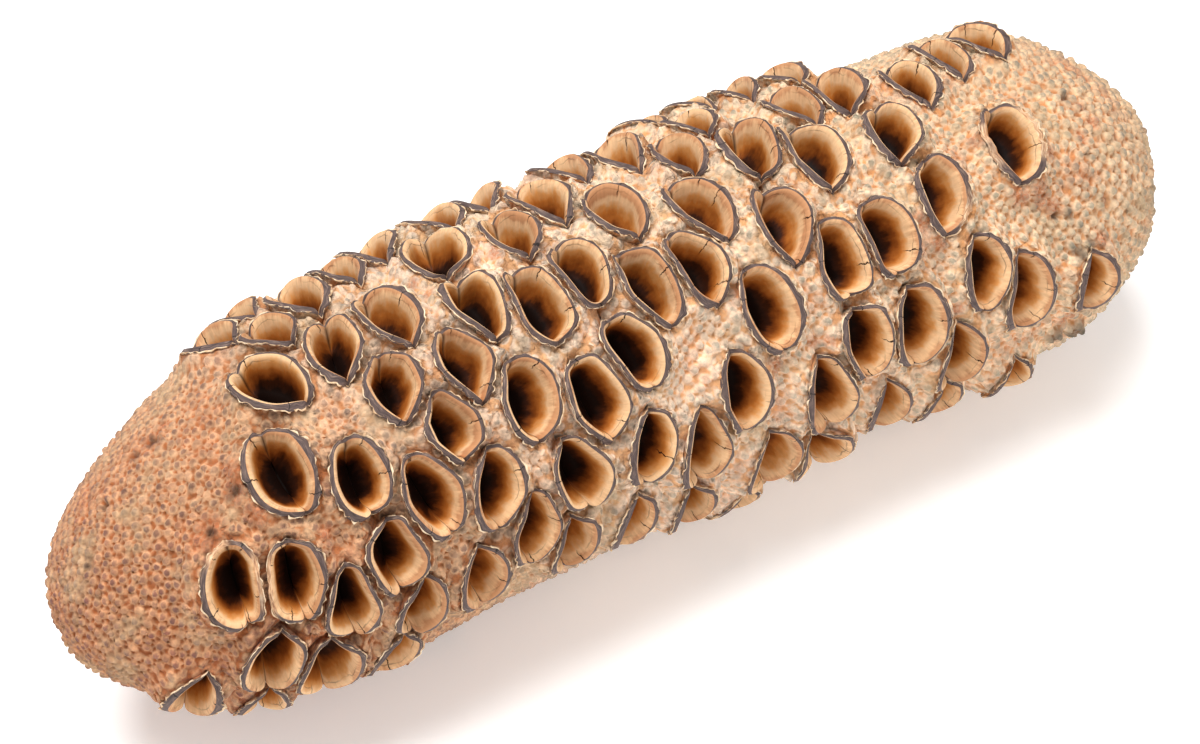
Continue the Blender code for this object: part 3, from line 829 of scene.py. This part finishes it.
def knob_rings(arc, phi, turn, reach, share):
    """Arc, phi and knob number of the points round each knob, at a share of its reach."""
    wobble = reach * share * ground_rng.uniform(*KNOB_WOBBLE, turn.shape)
    ring_arc = arc[:, None] + wobble * np.sin(turn)
    ring_phi = phi[:, None] + wobble * np.cos(turn) / radius_at(arc)[:, None]
    number = np.repeat(np.arange(len(arc)), turn.shape[1])
    return ring_arc.ravel(), wrapped(ring_phi.ravel()), number


def ground_swell(arc, phi):
    """Slow rise and fall of the felt: crossed waves a few centimetres long."""
    return SWELL_HEIGHT * sum(np.sin(arc / length + count * phi + start)
                              for length, count, start in SWELL_WAVES)


def felt_material():
    """Weathered plant felt, matt and short: cream in the middle, orange tan and mauve at the tip.

    Each knob has a scar on top, a pale ring round it, and darker felt in the valley about it.
    Grains about a millimetre wide roughen all of it. On the crowded felt of the valves, small
    beads of the material's own take the place of the grown knobs."""
    material, shader = new_material("weathered_felt", 0.95)
    number = point_numbers(material, "knob", "zone", "tone", "scar", "rust", "dark", "crowd")
    coords = add_node(material, "TexCoord").outputs["Object"]
    fuzz = noise(material, coords, FUZZ, 5, 0.72)
    grains, cells = (add_node(material, "TexVoronoi", {"Vector": coords, "Scale": 1 / size})
                     for size in (GRAIN, BEAD))
    blotch = noise(material, coords, BLOTCH, 3, 0.6)

    # Colours along the cone, for the scar, the pale ring and the valley; the zone also carries
    # painted light, paler on the upper side
    places = (0.0, 0.20, 0.38, 0.75, 1.0)
    scar, ring, valley = (
        add_node(material, "ValToRGB", [number["zone"]], list(zip(places, codes))) for codes in (
            ("#7E5145", "#86644F", "#BCAC98", "#A89B83", "#9A8872"),
            ("#C79169", "#CFA27C", "#EDCFB4", "#E9C8A6", "#DAB48C"),
            ("#9C562C", "#A9683C", "#DAA474", "#D2935E", "#B87646")))

    # Where on a knob a place lies: 0 at its top, about 1 in the valley, frayed by the fuzz
    cell_way = reckon(material, "MULTIPLY", cells, BEAD_WAY)
    knob_way = add_node(material, "Mix", [number["crowd"], number["knob"], cell_way],
                        data_type="FLOAT")
    way = reckon(material, "MULTIPLY_ADD", fuzz, 0.5, -0.25)
    way = reckon(material, "ADD", way, knob_way)
    on_scar = add_node(material, "MapRange", [way, 0.36, 0.78, 1, 0],
                       interpolation_type="SMOOTHSTEP")
    on_scar = reckon(material, "MULTIPLY", on_scar, number["scar"])
    on_valley = add_node(material, "MapRange", [way, 0.72, 1.06],
                         interpolation_type="SMOOTHSTEP")
    top = mix_colours(material, on_scar, ring, scar)
    felt = mix_colours(material, on_valley, top, valley)
    faded = add_node(material, "MapRange", [blotch, 0.36, 0.48, 0.50, 0])
    felt = mix_colours(material, faded, felt, linear("#C0A580"))

    # Rusty patches, then light and dark from knob to knob and from fibre to fibre
    patch = add_node(material, "MapRange", [blotch, 0.54, 0.72, 0, 0.45])
    crumb = add_node(material, "MapRange", [fuzz, 0.38, 0.62, 0.25, 0.85])
    crumb = reckon(material, "MULTIPLY", crumb, number["rust"])
    patch = reckon(material, "MAXIMUM", patch, crumb)
    rusty = mix_colours(material, patch, felt, linear("#B5683F"))
    light = number["tone"]
    for shade in (add_node(material, "MapRange", [fuzz, 0.25, 0.75, 0.90, 1.22]),
                  add_node(material, "MapRange", [grains, 0.35, 0.75, 1.08, 0.86]),
                  reckon(material, "MULTIPLY_ADD", number["dark"], -0.72, 1)):
        light = reckon(material, "MULTIPLY", light, shade)
    shaded = add_node(material, "VectorMath", [rusty, light], operation="SCALE")

    # Relief: grains all over, beads in place of knobs where it is crowded, and fuzz on both
    pebbles = relief(material, grains, 0.7, 0.45 * MM, invert=True)
    swell = reckon(material, "MULTIPLY", cells, number["crowd"])
    beads = relief(material, swell, 1.0, 1.5 * MM, {"Normal": pebbles}, invert=True)
    bump = relief(material, fuzz, 0.9, 0.45 * MM, {"Normal": beads})
    feed(shader, {"Base Color": shaded, "Normal": bump, "Specular IOR Level": 0.15,
                  "Sheen Weight": 0.10, "Sheen Roughness": 0.6})
    return material


def felt_zone(arc, phi):
    """Share of the length that sets the felt's colour, the upper side counted nearer the middle.

    This is painted light: at the tip the side facing up in the view is paler, and the lower side
    darker and more mauve.
    """
    up = frame_at(arc, phi)[1] @ sight_frame()[2]
    return station_at(arc) / LENGTH + PAINTED_LIGHT_LEAN * up


def felt_ground():
    """Mesh of the ground: loops at the feet and ends, knobs, and a low point between knobs."""
    # The feet are loops that the ground closes on, and it ends at the pole and the scar
    inner_foot = crest + (foot - crest) * FOOT_IN
    foot_arc, foot_phi = on_follicle(follicles, inner_foot)
    tip_arc, tip_phi = end_loop(POLE_RADIUS, False, POLE_POINTS)
    scar_arc, scar_phi = end_loop(SCAR_RADIUS, True, SCAR_POINTS)
    loop_arc = np.concatenate([foot_arc.ravel(), tip_arc, scar_arc])
    loop_phi = np.concatenate([foot_phi.ravel(), tip_phi, scar_phi])
    loops = list(np.arange(foot_arc.size).reshape(foot_arc.shape))

    # Knobs, each as wide as its neighbours leave room for
    knob_arc, knob_phi = knob_places()
    clear = near_feet(knob_arc, knob_phi)[0] > KNOB_CLEARANCE
    knob_arc, knob_phi = knob_arc[clear], knob_phi[clear]
    knobs = len(knob_arc)
    arc, phi = np.concatenate([knob_arc, loop_arc]), np.concatenate([knob_phi, loop_phi])
    faces = ground_triangles(unrolled(arc, phi), [loop + knobs for loop in loops])
    start = ground_rng.uniform(0, TURN, (knobs, 1))
    turns = [start + np.arange(points) * TURN / points for points in RING_POINTS]
    reaches = [cell_reach(faces, arc, phi, knobs, turn) for turn in turns]
    knob_height = station_value(knob_arc, KNOB_HEIGHTS) * ground_rng.uniform(*KNOB_VARIETY, knobs)
    knob_height *= reaches[-1].mean(1) / (0.5 * station_value(knob_arc, KNOB_STEPS))
    top_rise = np.where(ground_rng.random(knobs) < DIMPLED_SHARE, *KNOB_TOPS)
    knob_tone = ground_rng.normal(*KNOB_TONE, knobs)
    knob_scar = np.clip(ground_rng.normal(*KNOB_SCAR, knobs), 0, 1)

    # Arc, phi, knob number, height and way of the points: each top, then two rings round it
    rings = [(knob_arc, knob_phi, np.arange(knobs), knob_height * top_rise, 0 * knob_arc)]
    for turn, reach, share, rise in zip(turns, reaches, RING_SHARES, RING_RISES):
        ring_arc, ring_phi, owner = knob_rings(knob_arc, knob_phi, turn, reach, share)
        rings.append((ring_arc, ring_phi, owner, rise * knob_height[owner],
                      np.full(len(owner), share)))
    arc, phi, number, lift, way = (np.concatenate(values) for values in zip(*rings))
    clear = near_feet(arc, phi)[0] > POINT_CLEARANCE
    arc, phi, number, lift, way = (values[clear] for values in (arc, phi, number, lift, way))

    # A low point in each triangle between three knobs
    corners = faces[(faces < knobs).all(1)]
    corner_phi = knob_phi[corners[:, :1]] + wrapped(knob_phi[corners] - knob_phi[corners[:, :1]])
    low_arc, low_phi = knob_arc[corners].mean(1), wrapped(corner_phi.mean(1))
    low = near_feet(low_arc, low_phi)[0] > POINT_CLEARANCE
    low_arc, low_phi, low_knob = low_arc[low], low_phi[low], corners[low, 0]

    free = len(arc) + len(low_arc)
    arc = np.concatenate([arc, low_arc, loop_arc])
    phi = np.concatenate([phi, low_phi, loop_phi])
    valley = np.full(len(low_arc), -VALLEY_DEPTH)
    open_foot = np.clip((openness - COLLAR_OPEN[0]) / np.ptp(COLLAR_OPEN), 0, 1)
    foot_lift = crest_height - COLLAR_UNDER - GAP_DEPTH * (1 - open_foot)
    ends = np.zeros(POLE_POINTS + SCAR_POINTS)
    gap, collar = near_feet(arc[:free], phi[:free])
    crowd = np.ones(len(arc))
    crowd[:free] = np.clip(1 - gap / CROWD_REACH, 0, 1)
    lift = np.concatenate([np.concatenate([lift, valley]) + collar, foot_lift.ravel(), ends])
    ground = frame_at(arc, phi)[0]
    rust = spot_share(ground, RUST_SPOTS).max(-1)
    in_dark = spot_share(ground, [spot[:3] for spot in DARK_SPOTS])
    lift += ground_swell(arc, phi) + in_dark @ np.array([spot[3] for spot in DARK_SPOTS]) * MM
    way = np.append(way, np.full(len(arc) - len(way), VALLEY_WAY))
    tone = np.concatenate([knob_tone[number], knob_tone[low_knob],
                           np.full(len(loop_arc), LOOP_TONE)])
    scar = np.append(knob_scar[number], np.full(len(arc) - len(number), PLAIN_SCAR))
    faces = ground_triangles(unrolled(arc, phi), [loop + free for loop in loops])

    # A fan closes the tip
    places = np.concatenate([raised(arc, phi, lift), bend(np.zeros((1, 3)))])
    pole = free + foot_arc.size + np.arange(POLE_POINTS)
    fan = np.stack([np.roll(pole, -1), pole, np.full(POLE_POINTS, len(arc))], -1)
    numbers = {"knob": way, "zone": felt_zone(arc, phi), "tone": tone, "scar": scar,
               "rust": rust, "dark": in_dark.max(-1), "crowd": crowd}
    numbers = {key: np.append(values, POLE_NUMBERS.get(key, 0))
               for key, values in numbers.items()}
    return places, np.concatenate([faces, fan]), numbers, foot_lift


felt = felt_material()
ground_places, ground_faces, ground_numbers, foot_lift = felt_ground()
in_front = ground_places[ground_faces].mean(1) @ sight_frame()[3] < 0
for half, chosen in (("front", in_front), ("back", ~in_front)):
    half_points, half_faces = np.unique(ground_faces[chosen], return_inverse=True)
    half_numbers = {key: values[half_points] for key, values in ground_numbers.items()}
    new_piece("felt_ground_" + half, ground_places[half_points], half_faces.reshape(-1, 3), felt,
              half_numbers)


# Backs of the valves.
# Outside, each valve is clothed in the same felt as the ground, and rises from it steeply under
# the flared rim.
BACK_SHARES = np.array([0.40, 0.50, 0.60, 0.72, 0.84, 0.93])
BACK_RISE = np.array([0.0, 0.16, 0.42, 0.68, 0.88, 1.0])
BACK_SINK = 0.5 * MM
EDGE_UNDER = 0.5 * MM
BACK_ROUGHNESS = 0.10
BACK_WAY = (0.45, 1.1)
BACK_TONE = (0.94, 0.10)
BACK_RUST = 0.5

low = (foot_lift - BACK_SINK)[:, None]
high = (crest_height - EDGE_UNDER)[:, None]
back_height = low + (high - low) * BACK_RISE[:, None]
back_share = np.broadcast_to(BACK_SHARES[:, None], back_height.shape).copy()
back_share[:, 1:-1] += rim_rng.normal(0, BACK_ROUGHNESS, back_share[:, 1:-1].shape)
back_share[:, -1] *= 1 + rim_lumps(theta)
backs = ring_places(crest, foot, back_share, back_height)
new_piece("valve_backs", backs, ring_quads(backs), felt, {
    "knob": rim_rng.uniform(*BACK_WAY, back_height.shape),
    "tone": rim_rng.normal(*BACK_TONE, back_height.shape),
    "zone": felt_zone(*follicles.T[:2])[:, None, None],
    "rust": BACK_RUST * torn[:, None], "scar": PLAIN_SCAR, "crowd": 1})


# Dark bands of the rims.
# Where the two valves once met, each shows the cut face of its wall: a flat band of dark
# grey-violet wood, about a millimetre wide, between the felt outside and the polished pocket.
BAND_SHARES = np.array([1.0, 0.9, 0.62, 0.34, 0.12, 0.0])
BAND_DROP = np.array([0.42, 0.30, 0.17, 0.08, 0.02, 0.0]) * MM
BAND_STREAK = (2.2 * MM, 0.35 * MM)
BAND_GRIT = 0.5 * MM


def rim_streaks(material, streak):
    """The rim way of a piece, and a noise on it in streaks of that size along and across it."""
    way = add_node(material, "UVMap", uv_map="rim_way")
    stretched = add_node(material, "Mapping", {
        "Vector": way, "Scale": (1 / streak[0], 1 / streak[1], 1)})
    return way, noise(material, stretched, 1, 4, 0.6)


def band_material():
    """Dense dark wood, weathered grey-violet, with fine pale streaks along the rim.

    Where a rim is torn, the fresh wood of the break shows instead."""
    material, shader = new_material("weathered_dark_wood", 0.75)
    way, streak = rim_streaks(material, BAND_STREAK)
    colour = add_node(material, "ValToRGB", [streak], [
        (0.28, "#33241F"), (0.45, "#4B3A36"), (0.58, "#604D47"), (0.74, "#957C6B")])
    cracked = mix_colours(material, crack_lines(material, way), colour, linear("#1E1310"))
    fresh = add_node(material, "ValToRGB", [streak], [
        (0.36, "#8A5B3C"), (0.50, "#D0A27A"), (0.64, "#EBCDA8")])
    rim = mix_colours(material, point_numbers(material, "torn")["torn"], cracked, fresh)
    coords = add_node(material, "TexCoord").outputs["Object"]
    bump = relief(material, noise(material, coords, BAND_GRIT, 4, 0.6), 0.4, 0.15 * MM)
    feed(shader, {"Base Color": rim, "Normal": bump})
    return material


band_share = BAND_SHARES[:, None] * (1 + rim_lumps(theta)[:, None])
bands = ring_places(crest, foot, band_share, crest_height[:, None] - BAND_DROP[:, None])
new_piece("valve_rims", bands, ring_quads(bands), band_material(), {"torn": torn[:, None]},
          ring_uvs(rim_way, path_lengths(bands)))


# Frayed edges.
# The felt of the back ends at the rim in a thin pale edge, torn into small waves where it dried.
EDGE_COLUMNS = 160
EDGE_SHARES = np.array([0.88, 0.95, 1.00, 0.90])
EDGE_LIMITS = (0.6, 1.4)
EDGE_DROP = np.array([0.30, 0.20, 0.32, 0.60]) * MM
EDGE_TEAR = np.array([0.06, 0.16, 0.20, 0.10])
EDGE_TEAR_WAVES = ((32, 0.7), (80, 0.8))
EDGE_CURL = np.array([0, 0.7, 1.0, 0]) * 0.14 * MM
EDGE_CURL_WAVES = 32
EDGE_BREAK = 1.6 * MM


def smooth_noise(count, columns, knots, rng):
    """Noise round each ring: random values at even knots, joined by a periodic cosine curve."""
    values = rng.normal(0, 1, (count, knots))
    place = np.arange(columns) * knots / columns
    left = place.astype(int)
    share = (1 - np.cos(math.pi * (place - left))) / 2
    return values[:, left] * (1 - share) + values[:, (left + 1) % knots] * share


def edge_material():
    """Dried felt fibres seen end on, pale cream with tan breaks."""
    material, shader = new_material("frayed_fibre", 0.9)
    coords = add_node(material, "TexCoord").outputs["Object"]
    fibres = noise(material, coords, EDGE_BREAK, 4, 0.6)
    feed(shader, {"Base Color": add_node(material, "ValToRGB", [fibres], [
        (0.34, "#8C6244"), (0.45, "#CFAB84"), (0.60, "#EBD3B2")])})
    return material


edge_theta = column_angles(EDGE_COLUMNS)
edge_crest, edge_foot, _ = mouth_rings(edge_theta)
tear = sum(smooth_noise(follicle_count, EDGE_COLUMNS, knots, rim_rng) * size
           for knots, size in EDGE_TEAR_WAVES)
edge_share = EDGE_SHARES[:, None] * (1 + rim_lumps(edge_theta)[:, None])
edge_share = np.clip(edge_share + EDGE_TEAR[:, None] * tear[:, None], *EDGE_LIMITS)
curl = smooth_noise(follicle_count, EDGE_COLUMNS, EDGE_CURL_WAVES, rim_rng)
edge_height = crest_heights(edge_theta, edge_crest)[:, None] - EDGE_DROP[:, None]
edge_height += EDGE_CURL[:, None] * curl[:, None]
edges = ring_places(edge_crest, edge_foot, edge_share, edge_height)
new_piece("frayed_edges", edges[:, ::-1], ring_quads(edges), edge_material())


# Linings of the pockets.
# Inside, the valve is smooth polished wood, cream at the lip and orange brown below, that ends
# in the dark slit where the seeds sat. Its colour darkens to nearly black with depth, partly the
# wood's own and partly painted shade in the pocket. Small cracks run down into it from the rim.
POCKET_DEPTH = 3.6 * MM
SLIT_DEPTH = 2.4 * MM
SLIT_INSET = 0.9 * MM
SLIT_SHARE = 0.62
GROWTH_LINE = 2.4 * MM
LINE_WIDTH = (0.04 * MM, 0.18 * MM)
LINE_BREAK = 7 * MM
LINING_STREAK = (0.8 * MM, 7 * MM)
LINING_CLOUD = 4 * MM
# Shift of the colour on the valve towards the base and the one towards the tip: painted shade on
# the tip-side valve
VALVE_PAINTED_SHADE = (0, 0.04)
TONE_SPREAD = 0.045
SEAM_SHADE = 0.85
LINING_INWARD = np.array([0, 0.06, 0.13, 0.19, 0.24, 0.29, 0.38, 0.62, 0.95, 1.0])
LINING_DOWN = np.array([0, 0.02, 0.08, 0.19, 0.35, 0.55, 0.76, 0.92, 1.0, 1.0])


def lining_material():
    """Polished seed-pocket wood: satin, cream at the lip, then orange brown, then nearly black.

    The darkening with depth is partly the wood's own colour and partly painted shade, and the
    brightest cream band below the lip is partly a painted highlight. Soft streaks run down from
    the rim, a thin growth line follows it, short cracks cross the lip, and a dark seam at either
    notch is where the two valves meet."""
    material, shader = new_material("polished_pocket_wood", 0.55)
    number = point_numbers(material, "depth", "tone", "seam")
    way, streak = rim_streaks(material, LINING_STREAK)
    cloud = noise(material, way, LINING_CLOUD, 3, 0.55)

    # Where the colour turns is moved by the streaks, the clouds and the valve's tone: a random tone
    # of its own, plus painted shade that starts the darker colours nearer the lip on the valve
    # towards the tip
    moved = reckon(material, "MULTIPLY_ADD", streak, 0.14, number["depth"])
    moved = reckon(material, "MULTIPLY_ADD", cloud, 0.36, moved)
    moved = reckon(material, "ADD", moved, number["tone"])
    moved = reckon(material, "ADD", moved, -0.25)
    # Ramp along the depth: tan lip, a brightest cream band that is partly painted highlight, orange
    # brown, then near black that is partly painted shade deep in the pocket
    colour = add_node(material, "ValToRGB", [moved], [
        (0.0, "#BE8A62"), (0.06, "#DDB286"), (0.14, "#E4BC90"), (0.24, "#CE9256"),
        (0.35, "#AE682C"), (0.47, "#7A3F15"), (0.58, "#341708"), (0.70, "#120603")])
    grain = add_node(material, "MapRange", [streak, 0.3, 0.7, 0.84, 1.08])
    shaded = add_node(material, "VectorMath", [colour, grain], operation="SCALE")

    # Growth line: a thin broken shade that keeps about a millimetre from the rim
    across = add_node(material, "SeparateXYZ", [way]).outputs["Y"]
    apart = reckon(material, "MULTIPLY_ADD", cloud, -GROWTH_LINE, across)
    apart = reckon(material, "ABSOLUTE", apart)
    line = add_node(material, "MapRange", [apart, *LINE_WIDTH, 1, 0])
    broken = noise(material, way, LINE_BREAK, 1)
    broken = add_node(material, "MapRange", [broken, 0.46, 0.62, 0, 0.5])
    marks = reckon(material, "MULTIPLY", line, broken)
    for mark in (crack_lines(material, way), number["seam"]):
        marks = reckon(material, "MAXIMUM", marks, mark)
    marked = mix_colours(material, marks, shaded, linear("#2A140A"))
    bump = relief(material, streak, 0.15, 0.10 * MM)
    feed(shader, {"Base Color": marked, "Normal": bump, "Specular IOR Level": 0.1})
    return material


slit_half = (follicles[:, 3:4] / 2 - SLIT_INSET) * SLIT_SHARE
slit = np.stack([slit_half * np.cos(theta), 0 * slit_half * theta], -1)
drop = (crest_height[:, None] + POCKET_DEPTH) * LINING_DOWN[:, None]
drop[:, -1] += SLIT_DEPTH
linings = ring_places(crest, slit, np.broadcast_to(LINING_INWARD[:, None], drop.shape),
                      crest_height[:, None] - drop)
lining_way = path_lengths(linings)
lining_depth = lining_way / lining_way[:, -1:].max(2, keepdims=True)
# Each valve's random tone, with painted shade added on the valve towards the tip
valve_tone_and_shade = by_valve(rim_rng.normal(0, TONE_SPREAD, (follicle_count, 2)) + VALVE_PAINTED_SHADE, theta)

# The last ring lies on the slit, so its two sides share their points
column = np.arange(COLUMNS)
shared = np.arange(linings.size // 3).reshape(linings.shape[:3])
shared[:, -1] = shared[:, -1, np.minimum(column, COLUMNS - column)]
kept, lining_faces = np.unique(shared.ravel()[ring_quads(linings)], return_inverse=True)
at_notch = np.where(column % (COLUMNS // 2) == 0, SEAM_SHADE, 0)
lining_numbers = {"depth": lining_depth, "tone": valve_tone_and_shade[:, None], "seam": at_notch}
lining_numbers = {key: np.broadcast_to(values, lining_depth.shape).ravel()[kept]
                  for key, values in lining_numbers.items()}
new_piece("pocket_linings", linings.reshape(-1, 3)[kept], lining_faces.reshape(-1, 4),
          lining_material(), lining_numbers, ring_uvs(rim_way, lining_way))


# Scar of the stalk.
# At the base the cone broke off its branch, and a low round stub of grey-brown wood is left,
# rough and a little hollow in the middle.
STUB_RADII = np.array([5.5, 5.0, 4.75, 4.5, 4.1, 3.2, 2.2, 1.1]) * MM
STUB_HEIGHTS = np.array([-0.7, 0.2, 1.1, 1.6, 1.7, 1.45, 1.2, 1.3]) * MM
STUB_COLUMNS = 64
STUB_WAVE = 0.03
STUB_ROUGHNESS = 0.13 * MM
STUB_GRAIN = 0.8 * MM


def stalk_material():
    """Broken wood of the stalk, grey brown with fine grain across the break."""
    material, shader = new_material("broken_stalk_wood", 0.9)
    coords = add_node(material, "TexCoord").outputs["Object"]
    grain = noise(material, coords, STUB_GRAIN, 5, 0.65)
    colour = add_node(material, "ValToRGB", [grain], [
        (0.32, "#5A4030"), (0.50, "#8D6C50"), (0.68, "#BC9A76")])
    feed(shader, {"Base Color": colour, "Normal": relief(material, grain, 0.7, 0.3 * MM)})
    return material


stub_turn = np.arange(STUB_COLUMNS) * TURN / STUB_COLUMNS
stub_reach = STUB_RADII[:, None] * (1 + STUB_WAVE * np.sin(3 * stub_turn + 1))
stub_foot = station_at(end_loop(SCAR_RADIUS, True, STUB_COLUMNS)[0])
stub_height = stub_foot + STUB_HEIGHTS[:, None]
stub_height[1:] += rim_rng.normal(0, STUB_ROUGHNESS, stub_height[1:].shape)
stub = bend(np.stack([stub_height, stub_reach * np.cos(stub_turn),
                      stub_reach * np.sin(stub_turn)], -1))
stub_faces = ring_quads(stub[None]).tolist()
stub = stub.reshape(-1, 3)
last_ring = len(stub) - STUB_COLUMNS
stub_faces += [(last_ring + k, last_ring + (k + 1) % STUB_COLUMNS, len(stub))
               for k in range(STUB_COLUMNS)]
stub = np.concatenate([stub, stub[last_ring:].mean(0, keepdims=True)])
new_piece("stalk_scar", stub, stub_faces, stalk_material())


# Studio.
# A white translucent sheet, lit a little from below, under soft lamps, seen from the side that
# the photograph shows.
CAMERA_LENS = 84.03
CAMERA_SENSOR = 36
FRAME_CENTRE = (600, 372)
FLOOR_REACH = 6
FLOOR_GLOW = 0.24
ROOM_LIGHT = 0.44
LAMPS = (
    ("key", (-0.20, 0.10, 1.1), 0.7, 16.8),
    ("fill", (0.3, -0.9, 0.5), 0.9, 3.4),
)


def place_camera():
    """Camera at the eye of the photograph, turned so that the frame's centre is the picture's."""
    eye, right, up, forward = sight_frame()
    aside = (FRAME_CENTRE[0] - SIGHT_CENTRE[0]) / SIGHT_FOCAL
    above = (SIGHT_CENTRE[1] - FRAME_CENTRE[1]) / SIGHT_FOCAL
    towards = Vector(forward + aside * right + above * up)
    data = bpy.data.cameras.new("camera")
    data.sensor_width = CAMERA_SENSOR
    data.lens = CAMERA_LENS
    data.clip_start = 0.01
    camera = put_in_scene("camera", data)
    camera.location = eye
    camera.rotation_euler = towards.to_track_quat("-Z", "Y").to_euler()
    bpy.context.scene.camera = camera


def add_lamp(name, place, size, power):
    """Square soft lamp that faces the cone."""
    data = bpy.data.lights.new(name, "AREA")
    data.size = size
    data.energy = power
    lamp = put_in_scene(name, data)
    lamp.location = place
    lamp.rotation_euler = (-Vector(place)).to_track_quat("-Z", "Y").to_euler()


paper, paper_shader = new_material("pale_paper", 0.9)
feed(paper_shader, {"Base Color": linear("#FBFBFB"), "Emission Color": (1, 1, 1, 1),
                    "Emission Strength": FLOOR_GLOW})
floor_mesh = bpy.data.meshes.new("floor")
floor_corners = np.array([(-1, -1, 0), (1, -1, 0), (1, 1, 0), (-1, 1, 0)]) * FLOOR_REACH
floor_mesh.from_pydata(floor_corners.tolist(), [], [(0, 1, 2, 3)])
floor_mesh.materials.append(paper)
put_in_scene("floor", floor_mesh)

world = bpy.data.worlds.new("studio")
world.use_nodes = True
feed(world.node_tree.nodes["Background"], {"Color": (1, 1, 1, 1), "Strength": ROOM_LIGHT})
bpy.context.scene.world = world
bpy.context.scene.view_settings.view_transform = "Standard"
for lamp in LAMPS:
    add_lamp(*lamp)
place_camera()
